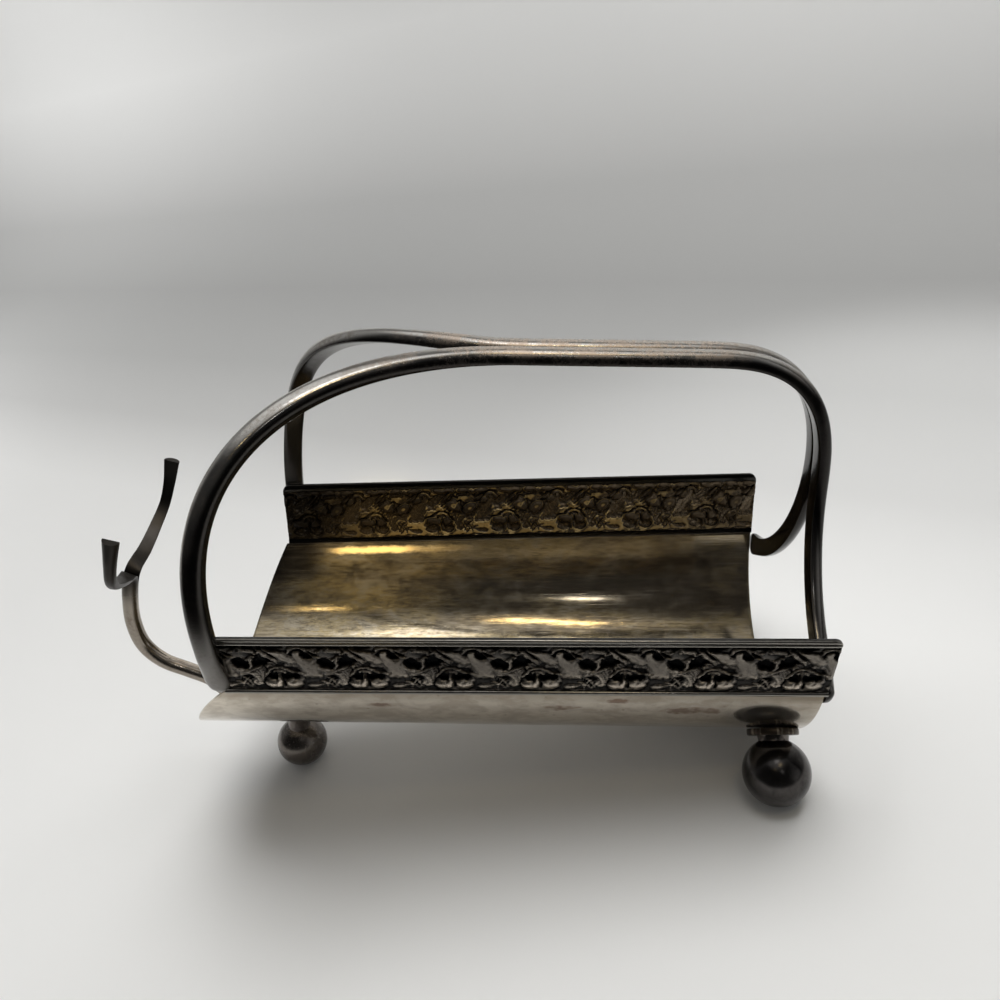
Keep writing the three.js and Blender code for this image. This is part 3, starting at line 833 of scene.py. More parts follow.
class Surface(Graph):
    """The nodes of one finish, which read places in millimetres of the cradle's own frame."""

    def __init__(self, name: str) -> None:
        """Starts a material with its place along, across and over the trough."""
        self.material = bpy.data.materials.new(name)
        self.material.use_nodes = True
        super().__init__(self.material.node_tree)
        self.shader = self.tree.nodes["Principled BSDF"]
        c, s = math.cos(CRADLE.tilt), math.sin(CRADLE.tilt)
        x, _, z = CRADLE.shift
        self.place = self.node("ShaderNodeMapping", {}, {
            "Vector": self.node("ShaderNodeTexCoord").outputs["Object"],
            "Location": (z * s - x * c, 0.0, -z * c - x * s),
            "Rotation": (0.0, -CRADLE.tilt, 0.0),
            "Scale": (1 / MM,) * 3,
        }).outputs["Vector"]
        self.x, self.y, self.z = self.parts(self.place)

    def stored(self, name: str) -> Value:
        """A number that is stored on the piece's vertices."""
        node = self.node("ShaderNodeAttribute", {"attribute_type": "GEOMETRY", "attribute_name": name})
        return Value(self, node.outputs["Fac"])

    def noise(self, size: float, detail: float = 4.0, rough: float = 0.55, warp: float = 0.0,
              stretch: Point = (1.0, 1.0, 1.0), shift: float = 0.0) -> Value:
        """Cloudy noise between about 0.2 and 0.8.

        Args:
            size: Size of its largest features in millimetres.
            detail: How many finer layers it has.
            rough: How strong the finer layers are.
            warp: How twisted it is.
            stretch: Factors on its frequency along, across and over the trough.
            shift: Moves it, so that two noises differ.

        Returns:
            The noise.
        """
        place = self.node("ShaderNodeVectorMath", {"operation": "MULTIPLY_ADD"},
                          {0: self.place, 1: stretch, 2: (shift, 1.7 * shift, -shift)}).outputs[0]
        node = self.node("ShaderNodeTexNoise", {}, {"Vector": place, "Scale": 1 / size, "Detail": detail,
                                                    "Roughness": rough, "Distortion": warp})
        return Value(self, node.outputs[0])

    def spots(self, size: float, low: float, high: float, shift: float = 0.0) -> Value:
        """Scattered round spots, 1 at their middles."""
        place = self.node("ShaderNodeVectorMath", {"operation": "ADD"},
                          {0: self.place, 1: (shift, -shift, shift)}).outputs[0]
        node = self.node("ShaderNodeTexVoronoi", {}, {"Vector": place, "Scale": 1 / size})
        return Value(self, node.outputs["Distance"]).step(high, low)

    def bump(self, height: Value, depth: float,
             before: bpy.types.NodeSocket | None = None) -> bpy.types.NodeSocket:
        """A normal bent by a height that spans a depth in millimetres."""
        inputs = {"Height": height, "Distance": depth * MM, "Strength": 1.0}
        if before is not None:
            inputs["Normal"] = before
        return self.node("ShaderNodeBump", {}, inputs).outputs["Normal"]

    def metal(self, colour: bpy.types.NodeSocket, roughness: Value, normal: bpy.types.NodeSocket,
              film: Value) -> bpy.types.Material:
        """Ends the graph as metal under a dull film.

        Args:
            colour: The metal's colour.
            roughness: How blurred its reflections are.
            normal: Its bent normal.
            film: Share of the light that the film scatters instead of the metal.

        Returns:
            The finished material.
        """
        self.tree.links.new((1 - film).socket, self.shader.inputs["Metallic"])
        self.tree.links.new(colour, self.shader.inputs["Base Color"])
        self.tree.links.new(roughness.socket, self.shader.inputs["Roughness"])
        self.tree.links.new(normal, self.shader.inputs["Normal"])
        return self.material


@dataclass(frozen=True)
class TroughPlate:
    """Silver plate on the trough: brown and gold tarnish inside, greyer and mottled outside."""

    bare: Colour = (0.60, 0.53, 0.42)
    cloud: Colour = (0.40, 0.34, 0.24)
    gold: Colour = (0.52, 0.41, 0.21)
    deep: Colour = (0.18, 0.145, 0.10)
    milk: Colour = (0.50, 0.48, 0.43)
    # Colour of the painted brass highlight
    brass: Colour = (0.98, 0.72, 0.33)
    belly: Colour = (0.71, 0.65, 0.56)
    belly_cloud: Colour = (0.52, 0.46, 0.385)
    rust: Colour = (0.17, 0.085, 0.05)
    # Near black of painted shade
    soot: Colour = (0.03, 0.025, 0.02)
    rear: Span = (14.0, 50.0)
    far_end: Span = (20.0, 106.0)
    # Where the painted brass highlight runs
    highlight_height: float = -11.3
    highlight_width: Span = (2.4, 0.5)
    highlight_start: Span = (-94.0, -82.0)
    highlight_thins: Span = (-46.0, -56.0)
    highlight_ends: Span = (-12.0, -40.0)
    # Where the painted shade in the neck-end corner lies
    shade_along: Span = (-88.0, -101.0)
    shade_across: Span = (41.5, 45.5)
    eaves: Span = (-14.0, -9.0)
    base_end: Span = (60.0, 104.0)
    stains: tuple[tuple[float, float, float, float], ...] = (
        (60.0, -17.6, 11.0, 2.6),
        (13.0, -16.2, 7.0, 1.7),
        (34.0, -11.5, 5.0, 1.4),
        (-52.0, -15.0, 6.0, 1.5),
    )

    def make(self) -> bpy.types.Material:
        """Builds the material."""
        g = Surface("trough tarnish")
        inner = g.stored("inner").step(0.2, 0.8)
        drift = g.noise(24.0, 5.0, 0.55, 0.6, (0.35, 1.0, 1.0))
        patch = g.noise(9.0, 5.0, 0.62, 0.5, (0.7, 1.0, 1.0), 17.0)
        fine = g.noise(3.0, 5.0, 0.6, 0.3, (0.6, 1.0, 1.0), 11.0)
        streak = g.noise(7.0, 4.0, 0.6, 0.4, (0.10, 1.0, 1.0), 31.0)
        scratch = g.noise(0.7, 3.0, 0.6, 0.0, (0.012, 1.0, 1.0), 5.0).step(0.52, 0.74)
        cross = g.noise(0.8, 2.0, 0.6, 0.0, (1.0, 0.03, 0.03), 3.0).step(0.62, 0.72)
        tarnish = (drift * 0.4 + patch * 0.4 + streak * 0.2).step(0.43, 0.57)
        dark = (drift * 0.4 + streak * 0.3 + fine * 0.3).step(0.58, 0.42)
        # rubbed is a painted highlight: a brass line that stands in for a lamp's gold streak, with a film
        # that the gold spot lamp lights
        rubbed = self._painted_gold_streak(g, fine)
        inside = self._inside(g, tarnish, patch, dark, rubbed)
        colour = g.mix(inner, self._outside(g, patch, fine), inside)
        colour = g.mix(scratch * 0.30, colour, self.bare)
        roughness = 0.06 + tarnish * 0.03 + patch * 0.09 + scratch * 0.06 + cross * 0.04
        roughness = roughness + rubbed * inner * 0.32
        hammered = g.bump(g.noise(30.0, 2.0, 0.4, 0.0, (0.5, 1.0, 1.0), 8.0), 0.30)
        normal = g.bump(scratch * 0.6 + cross * 0.3 + fine * 0.4, 0.008, hammered)
        film = inner * (0.07 + tarnish * 0.10 + rubbed * 0.8) + (1 - inner) * 0.03
        return g.metal(colour, roughness, normal, film)

    def _painted_gold_streak(self, g: Surface, fine: Value) -> Value:
        """A painted highlight: a brass line along the rear side, near the neck end, that stands in for a
        lamp's gold streak.
        """
        line = (g.z - self.highlight_height + (fine - 0.5) * 3.0).size().step(*self.highlight_width)
        run = g.x.step(*self.highlight_thins) * 0.6 + g.x.step(*self.highlight_ends) * 0.4
        return line * g.y.step(*self.rear) * g.x.step(*self.highlight_start) * run

    def _inside(self, g: Surface, tarnish: Value, patch: Value, dark: Value,
                rubbed: Value) -> bpy.types.NodeSocket:
        """Colour of the side that the bottle lies on, with painted shade along its rear side and in its
        corner at the neck end, and a painted brass highlight.

        Args:
            g: The finish's nodes.
            tarnish: How golden the tarnish is.
            patch: Clouds of its milky patches.
            dark: Where it is darkest.
            rubbed: Where the painted brass highlight lies.

        Returns:
            The colour.
        """
        colour = g.mix(tarnish, self.cloud, self.gold)
        colour = g.mix(patch.step(0.50, 0.64) * 0.55, colour, self.milk)
        grain = g.noise(1.3, 3.0, 0.7, 0.0, (0.22, 1.0, 1.0), 13.0)
        colour = g.mix(grain.step(0.50, 0.38) * 0.65, colour, self.deep)
        colour = g.mix(grain.step(0.52, 0.64) * 0.55, colour, self.bare)
        # Painted shade along the rear side, darker towards the base end, with darker patches at random
        shade = g.y.step(*self.rear) * 0.22 + g.x.step(*self.far_end) * 0.35 + dark * 0.27
        colour = g.mix(shade, colour, self.deep)
        # Painted brass highlight
        colour = g.mix(rubbed, colour, self.brass)
        # Painted shade in the corner at the neck end, next to the rear strip
        corner = g.x.step(*self.shade_along) * g.y.step(*self.shade_across)
        return g.mix(corner * 0.85, colour, self.soot)

    def _outside(self, g: Surface, patch: Value, fine: Value) -> bpy.types.NodeSocket:
        """Colour of the side that faces the table, with its rusty stains and painted shade under the bead.
        """
        colour = g.mix((patch * 0.6 + fine * 0.4).step(0.42, 0.60), self.belly, self.belly_cloud)
        # Painted shade under the bead's eaves, and darker towards the base end
        shade = g.z.step(*self.eaves) * 0.5 + g.x.step(*self.base_end) * 0.4
        colour = g.mix(shade, colour, self.deep)
        for along, over, long, deep in self.stains:
            far, high = (g.x - along) * (1 / long), (g.z - over) * (1 / deep)
            stain = (far * far + high * high + (fine + patch - 1.0) * 4.5).step(1.3, 0.0)
            colour = g.mix(stain * 0.75, colour, self.rust)
        return g.mix(g.spots(5.5, 0.03, 0.14, 9.0) * 0.5, colour, self.deep)


@dataclass(frozen=True)
class StampedPlate:
    """Oxidised silver plate on the floral strips: black in the hollows, rubbed bright on the highs, with
    painted light towards their lower edge, a painted gold sheen inside and painted shade at the neck end.
    """

    hollow: Colour = (0.004, 0.004, 0.004)
    middle: Colour = (0.050, 0.046, 0.042)
    rubbed: Colour = (0.68, 0.60, 0.50)
    umber: Colour = (0.060, 0.044, 0.027)
    brown: Colour = (0.125, 0.095, 0.062)
    # Colour of the painted gold sheen inside
    gold: Colour = (0.74, 0.54, 0.24)
    # Heights over which the highs are painted lighter towards the lower edge, as painted light
    lit_low: Span = (8.0, -6.0)
    # Where the painted gold sheen inside is brightest
    lit_from: Span = (-95.0, -20.0)
    lit_to: Span = (110.0, 20.0)
    browner: Span = (-60.0, 10.0)
    # Where the inside is painted dark as painted shade
    shaded_neck_end: Span = (-70.0, -100.0)
    relief_shade: float = 1.4

    def make(self) -> bpy.types.Material:
        """Builds the material."""
        g = Surface("stamped oxide")
        inner = g.stored("inner").step(0.2, 0.8)
        stands = g.stored("stands")
        relief = g.stored("relief")
        fine = g.noise(1.3, 4.0, 0.65, 0.2)
        speck = g.noise(0.45, 2.0, 0.6, 0.0, (1.0, 1.0, 1.0), 5.0)
        cloud = g.noise(18.0, 3.0, 0.5, 0.3, (0.6, 1.0, 1.0), 9.0)
        grit = (fine - 0.5) * 0.4 + (speck - 0.5) * 0.25
        proud = (stands + relief * 0.4 + grit).step(-0.05, 0.75)
        sunk = (stands + relief * 0.35 + (fine - 0.5) * 0.3).step(0.08, -0.30)
        # Rubbed highs, lighter at random, and painted light towards the strip's lower edge
        wear_and_light = cloud * 0.55 + g.z.step(*self.lit_low) * 0.6
        outside = g.mix(proud * wear_and_light, self.middle, self.rubbed)
        outside = g.mix(sunk, outside, self.hollow)
        # Inside, a painted gold sheen along the contours of the relief, brightest in the middle of the
        # strip
        lit = g.x.step(*self.lit_from) * g.x.step(*self.lit_to)
        contour = (stands + (fine - 0.5) * 0.2 + 0.16).size().step(0.16, 0.03)
        sheen = contour * (0.12 + lit * 0.88) * (0.35 + cloud)
        inside = g.mix(sheen, g.mix(g.x.step(*self.browner), self.umber, self.brown), self.gold)
        # Painted shade at the neck end of the inside
        inside = g.mix(g.x.step(*self.shaded_neck_end) * 0.7, inside, self.hollow)
        colour = g.mix(inner, outside, inside)
        roughness = 0.17 + sunk * 0.3 + fine * 0.16 + speck * 0.10 - inner * 0.03
        pressed = g.bump(relief * (1 - inner * 2), self.relief_shade)
        normal = g.bump(fine * 0.5 + speck * 0.5, 0.22, pressed)
        return g.metal(colour, roughness, normal, 0.06 - sunk * 0.05 + inner * 0.10)


@dataclass(frozen=True)
class BeadPlate:
    """The same plate on the plain mouldings, rubbed along their crowns."""

    dark: Colour = (0.035, 0.033, 0.030)
    rubbed: Colour = (0.27, 0.255, 0.23)

    def make(self) -> bpy.types.Material:
        """Builds the material."""
        g = Surface("rubbed beads")
        crown = g.stored("crown")
        fine = g.noise(1.6, 4.0, 0.6)
        cloud = g.noise(14.0, 3.0, 0.6, 0.3, (0.5, 1.0, 1.0), 4.0)
        worn = (crown + (fine - 0.5) * 0.4 + (cloud - 0.5) * 0.5).step(0.35, 0.95)
        colour = g.mix(worn, self.dark, self.rubbed)
        roughness = 0.15 - worn * 0.03 + fine * 0.08
        return g.metal(colour, roughness, g.bump(fine, 0.03), worn * 0.1)


@dataclass(frozen=True)
class BarPlate:
    """Handled silver plate: smooth and grey, brownish where the hand wears it, blackened low down, with
    painted shade on the sides that face down.
    """

    silver: Colour = (0.50, 0.485, 0.455)
    black: Colour = (0.10, 0.094, 0.09)
    worn: Colour = (0.50, 0.40, 0.32)
    brown: Colour = (0.30, 0.26, 0.22)
    # Near black of the painted shade on the sides that face down
    soot: Colour = (0.020, 0.018, 0.017)
    name: str = "handled bars"
    leaf: Span = (0.14, 0.04)
    legs: Span = (0.62, 0.76)
    grip_from: Span = (0.30, 0.42)
    grip_to: Span = (0.66, 0.58)
    soiled: float = 0.94
    blackened: float = 0.78
    dull: float = 0.0

    def make(self) -> bpy.types.Material:
        """Builds the material."""
        g = Surface(self.name)
        crown = g.stored("crown")
        run = g.stored("run")
        fine = g.noise(1.4, 5.0, 0.65, 0.2)
        cloud = g.noise(14.0, 4.0, 0.55, 0.4, (1.0, 1.0, 1.0), 21.0)
        grain = g.noise(0.5, 3.0, 0.6, 0.0, (0.04, 1.0, 1.0), 6.0).step(0.5, 0.7)
        oxide = (cloud * 0.6 + fine * 0.4).step(0.42, 0.62)
        legs = run.step(*self.legs)
        colour = g.mix(oxide * 0.7, self.silver, self.brown)
        colour = g.mix(legs * self.blackened + run.step(*self.leaf) * 0.8, colour, self.black)
        grip = run.step(*self.grip_from) * run.step(*self.grip_to)
        rubbed = grip * (cloud * 0.5 + fine * 0.5).step(0.40, 0.58) * crown.step(0.2, 0.8)
        colour = g.mix(rubbed * 0.8, colour, self.worn)
        # Painted shade: the sides that face down are darkened towards near black, standing in for the dark
        # room they reflect
        upward = g.parts(g.node("ShaderNodeNewGeometry").outputs["Normal"])[2]
        under = (upward + (cloud - 0.5) * 0.3).step(0.60, 0.22) * run.step(0.03, 0.09)
        colour = g.mix(under * self.soiled, colour, self.soot)
        roughness = 0.13 + oxide * 0.04 + fine * 0.06 + grain * 0.04 + rubbed * 0.12 + legs * self.dull
        normal = g.bump(grain * 0.4 + fine * 0.6, 0.010, g.bump(cloud, 0.08))
        return g.metal(colour, roughness, normal, rubbed * 0.25 + oxide * 0.05)


@dataclass(frozen=True)
class FootPlate:
    """Dark tarnish on a ball or a neck."""

    name: str
    clean: Colour
    tarnished: Colour
    rough: float = 0.12
    scuffed: Colour = (0.3, 0.28, 0.26)

    def make(self) -> bpy.types.Material:
        """Builds the material."""
        g = Surface(self.name)
        cloud = g.noise(11.0, 4.0, 0.55, 0.4, (1.0, 1.0, 1.0), 2.0)
        fine = g.noise(1.2, 5.0, 0.65)
        scuff = g.noise(0.5, 3.0, 0.6, 0.0, (1.0, 1.0, 0.06), 3.0).step(0.58, 0.72)
        colour = g.mix((cloud * 0.7 + fine * 0.3).step(0.38, 0.62), self.clean, self.tarnished)
        colour = g.mix(scuff * 0.12, colour, self.scuffed)
        roughness = self.rough + cloud * 0.08 + fine * 0.08 + scuff * 0.05
        normal = g.bump(fine * 0.6 + scuff * 0.4, 0.006, g.bump(cloud, 0.05))
        return g.metal(colour, roughness, normal, cloud * 0.1)


@dataclass(frozen=True)
class CollarPlate:
    """Brown tarnish on the collars, with light streaks across their edge that are a painted reflection."""

    brown: Colour = (0.055, 0.043, 0.033)
    # Colour of the painted reflection streaks
    light: Colour = (0.26, 0.22, 0.175)

    def make(self) -> bpy.types.Material:
        """Builds the material."""
        g = Surface("collar tarnish")
        fine = g.noise(1.2, 4.0, 0.6)
        # streak places painted highlights that stand in for reflections on the collar's edge
        streak = (g.stored("streak") + (fine - 0.5) * 0.8).step(0.55, 1.1)
        colour = g.mix(streak * 0.8, self.brown, self.light)
        roughness = 0.26 + fine * 0.2
        return g.metal(colour, roughness, g.bump(fine, 0.02), streak * 0.15)


class Finish(Enum):
    """The finishes, each made once."""

    TROUGH = TroughPlate()
    STAMPED = StampedPlate()
    BEADS = BeadPlate()
    BARS = BarPlate()
    # The fork is a lighter copy of the bar plate, a painted reflection of the pale wall, with its prongs
    # painted near black as painted shade
    FORK = BarPlate(name="fork bars", silver=(0.72, 0.64, 0.54), brown=(0.46, 0.37, 0.285),
                    black=(0.035, 0.032, 0.030), legs=(0.60, 0.70), grip_from=(1.94, 2.06),
                    soiled=0.6, blackened=0.95, dull=0.22)
    DARK_BALL = FootPlate("blackened ball", (0.075, 0.069, 0.066), (0.030, 0.028, 0.027))
    BROWN_BALL = FootPlate("brown ball", (0.16, 0.142, 0.126), (0.11, 0.098, 0.088), 0.18)
    NECK = FootPlate("dark neck", (0.16, 0.14, 0.125), (0.07, 0.06, 0.055))
    COLLAR = CollarPlate()

    def on(self, piece: bpy.types.Object) -> None:
        """Puts the finish on a piece, making its material the first time."""
        found = bpy.data.materials.get(self.label)
        if found is None:
            found = self.value.make()
            found.name = self.label
        piece.data.materials.clear()
        piece.data.materials.append(found)

    @property
    def label(self) -> str:
        """The finish's name on its material."""
        return self.name.lower().replace("_", " ")


# Sub-assemblies


class Side(Enum):
    """The two long sides: their word in names and their sign along Y."""

    FRONT = ("front", -1)
    REAR = ("rear", 1)

    @property
    def word(self) -> str:
        """The side's word in the pieces' names."""
        return self.value[0]

    @property
    def sign(self) -> int:
        """The side's sign along Y."""
        return self.value[1]


@dataclass(frozen=True)
class Finished:
    """A piece ready to be handed to the frame: what it replaces, its slot and its finish."""

    piece: bpy.types.Object
    nodes: tuple[str, ...]
    slot: str
    finish: Finish

    def hand_in(self) -> None:
        """Dresses the piece, fixes it to its body, hides the parts that it stands for and logs its face
        count.
        """
        self.finish.on(self.piece)
        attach(self.piece, BODY)
        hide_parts(*self.nodes)
        log.info("%s: %d faces", self.piece.name, len(self.piece.data.polygons))


@dataclass
class Tray:
    """The half-round trough."""

    columns: int = 132
    rows: int = 150
    edge: float = 0.3
    dent: float = 0.25
    dent_pitch: float = 70.0
    dent_seed: int = 5
    calm_edges: int = 6

    def build(self) -> list[Finished]:
        """Wraps a grid round the bottle, gives it its thickness and rounds its edges."""
        piece, u, v = Bench.grid("trough_shell", self.columns, self.rows)
        share = 2 * u - 1
        lip = CRADLE.lip_x(share)
        x = lip + (CRADLE.length / 2 - lip) * v
        radius = CRADLE.outer_radius(x)
        angle = share * np.arccos(CRADLE.edge_drop / radius)
        waves = 0.5 + 0.5 * ripple(x, radius * angle, self.dent_seed, self.dent_pitch)
        radius = radius - self.dent * (1 - np.abs(share) ** self.calm_edges) * waves
        points = np.stack([x, radius * np.sin(angle), -radius * np.cos(angle)], axis=1)
        Bench.move_points(piece, CRADLE.place(points))
        Bench.apply(piece, "SOLIDIFY", thickness=CRADLE.sheet * MM, offset=-1.0)
        Bench.outward(piece)
        Bench.apply(piece, "BEVEL", width=self.edge * MM, segments=2, limit_method="ANGLE",
                    angle_limit=math.radians(60))
        Bench.values(piece, "inner", self._inner_side(piece))
        Bench.smooth(piece, 35)
        return [Finished(piece, ("tray",), "trough_plate", Finish.TROUGH)]

    @staticmethod
    def _inner_side(piece: bpy.types.Object) -> np.ndarray:
        """Marks with 1 the vertices of the trough's inside."""
        places = CRADLE.unplace(Bench.points(piece))
        radius = np.hypot(places[:, 1], places[:, 2])
        return (radius < CRADLE.outer_radius(places[:, 0]) - CRADLE.sheet / 2).astype(float)


@dataclass
class Gallery:
    """One stamped side strip with its top rim and base bead."""

    side: Side
    columns: int = 590
    rows: int = 62
    depth: float = 0.8
    thickness: float = 0.5
    repeat: float = 30.4
    first_flower: float = 21.9
    solder: float = 0.35
    tuck: float = 0.2
    set_back: float = 0.1
    fade_up: float = 0.8
    fade_along: float = 1.2
    chamfer: float = 0.15
    end_height: float = 0.12
    stations: int = 60

    def build(self) -> list[Finished]:
        """Forms the strip, its rim and its bead."""
        word = self.side.word
        return [
            Finished(self._panel(), (f"{word}_gallery",), "stamped_plate", Finish.STAMPED),
            Finished(self._rim(), (f"{word}_top_rim",), "stamped_plate", Finish.BEADS),
            Finished(self._bead(), (f"{word}_base_bead",), "stamped_plate", Finish.BEADS),
        ]

    def _panel(self) -> bpy.types.Object:
        """The strip, with the floral pattern pressed out of it towards the outside."""
        piece, u, v = Bench.grid(f"{self.side.word}_floral_strip", self.columns, self.rows)
        low = GALLERY.bottom + GALLERY.bead_height - self.tuck
        high = GALLERY.top - GALLERY.rim_height + self.tuck
        x = GALLERY.start + GALLERY.length * u
        z = low + (high - low) * v
        die = FloralDie()
        heights, stands = die.press()
        run = x - GALLERY.start if self.side is Side.FRONT else GALLERY.end - x
        along = (run - self.first_flower) * die.pitch / self.repeat
        up = (z - low) / (high - low) * die.high
        height = die.sample(heights, along, up)
        edge = ease(np.minimum(v, 1 - v) * (high - low) / self.fade_up)
        edge = edge * ease(np.minimum(u, 1 - u) * GALLERY.length / self.fade_along)
        y = GALLERY.offset(x, z) + (self.depth * height - self.set_back) * edge
        Bench.move_points(piece, CRADLE.place(np.stack([x, self.side.sign * y, z], axis=1)))
        Bench.values(piece, "relief", height)
        Bench.values(piece, "stands", die.sample(stands, along, up))
        count = len(piece.data.vertices)
        Bench.apply(piece, "SOLIDIFY", thickness=self.thickness * MM, offset=0.0)
        Bench.values(piece, "inner", self._inner_side(piece, count))
        Bench.outward(piece)
        Bench.smooth(piece, 80)
        return piece

    @staticmethod
    def _inner_side(piece: bpy.types.Object, count: int) -> np.ndarray:
        """Marks with 1 the strip's inner side: its first vertices up to a count, or the rest."""
        away = np.abs(Bench.points(piece)[:, 1])
        first = np.arange(len(away)) < count
        return (first == (away[:count].mean() < away[count:].mean())).astype(float)

    def _strip(self, name: str, outline: np.ndarray, bottom: float, stations: np.ndarray,
               scales: np.ndarray) -> bpy.types.Object:
        """A moulding along the gallery.

        Args:
            name: The piece's name.
            outline: Distances out and up of the points round its section.
            bottom: Height of the section's foot.
            stations: X of each section.
            scales: Height of each section as a share of the full one.

        Returns:
            The piece.
        """
        z = bottom + outline[None, :, 1] * scales[:, None]
        x = np.broadcast_to(stations[:, None], z.shape)
        back = outline[:, 0].min()
        out = back + (outline[None, :, 0] - back) * np.sqrt(scales)[:, None]
        y = self.side.sign * (GALLERY.offset(x, z) + out)
        rings = CRADLE.place(np.stack([x, y, z], axis=2)).reshape(*z.shape, 3)
        piece = Bench.tube(name, rings)
        places = CRADLE.unplace(Bench.points(piece))
        out = np.abs(places[:, 1]) - GALLERY.offset(places[:, 0], places[:, 2])
        Bench.values(piece, "crown", (out - outline[:, 0].min()) / np.ptp(outline[:, 0]))
        Bench.smooth(piece, 60)
        return piece

    def _rim(self) -> bpy.types.Object:
        """Two thin beads side by side along the top, rounded off at the corners."""
        half = GALLERY.rim_height / 2
        back = -GALLERY.sheet / 2
        arc = np.linspace(0, math.pi, 9)
        outline = [[back + self.chamfer, 0.0]]
        for bead in (0, 1):
            out = back + GALLERY.rim_width * (0.55 + 0.45 * np.sin(arc))
            up = half * (bead + 0.5 - 0.5 * np.cos(arc))
            outline += np.stack([out, up], axis=1).tolist()
        outline += [[back + self.chamfer, GALLERY.rim_height], [back, GALLERY.rim_height - self.tuck],
                    [back, self.tuck]]
        turn = np.linspace(0, math.pi / 2, 8)
        inset = GALLERY.corner * (1 - np.cos(turn))
        scale = 1 - GALLERY.corner * (1 - np.sin(turn)) / GALLERY.rim_height
        run = np.linspace(GALLERY.start + GALLERY.corner, GALLERY.end - GALLERY.corner,
                          self.stations)[1:-1]
        stations = np.r_[GALLERY.start + inset, run, (GALLERY.end - inset)[::-1]]
        scales = np.r_[scale, np.ones(len(run)), scale[::-1]]
        return self._strip(f"{self.side.word}_rim_beads", np.array(outline),
                           GALLERY.top - GALLERY.rim_height, stations, np.maximum(scales, self.end_height))

    def _bead(self) -> bpy.types.Object:
        """The single bead along the base, with a flat back that is soldered down on the trough's edge."""
        back = -GALLERY.sheet / 2
        height = GALLERY.bead_height
        turn = np.linspace(-math.pi / 2, math.pi / 2, 13)
        out = back + GALLERY.bead_width * (0.4 + 0.6 * np.cos(turn))
        up = height * (0.5 + 0.5 * np.sin(turn))
        outline = np.stack([out, up], axis=1).tolist()
        outline += [[back, height - 0.1], [back - self.solder, self.solder], [back - self.solder, 0.0]]
        stations = np.linspace(GALLERY.start, GALLERY.end, self.stations)
        return self._strip(f"{self.side.word}_foot_bead", np.array(outline), GALLERY.bottom, stations,
                           np.ones(self.stations))


def mark_bar(piece: bpy.types.Object, route: np.ndarray, thickness: np.ndarray) -> None:
    """Stores on a bar how far along it each vertex lies, and how near its crown.

    Args:
        piece: The bar.
        route: The line of its flat side.
        thickness: Its thickness at each point of the route.
    """
    places = CRADLE.unplace(Bench.points(piece))
    nearest = np.array([np.argmin(((route - p) ** 2).sum(axis=1)) for p in places])
    away = np.linalg.norm(places - route[nearest], axis=1)
    Bench.values(piece, "run", nearest / (len(route) - 1))
    Bench.values(piece, "crown", np.clip(away / np.maximum(thickness[nearest], 0.1), 0, 1.5))


@dataclass(frozen=True)
class BarSizes:
    """Section of the handle bars, at the grip, at the leaf and at the tab."""

    width: float = 8.0
    thickness: float = 5.4
    leaf_width: float = 9.2
    leaf_thickness: float = 2.4
    leaf_length: float = 22.0
    leaf_tip: float = 3.0
    leaf_round: float = 8.0
    tab_width: float = 10.4
    tab_thickness: float = 3.5
    tab_length: float = 16.0
    tab_round: float = 5.2
    end_round: float = 2.5


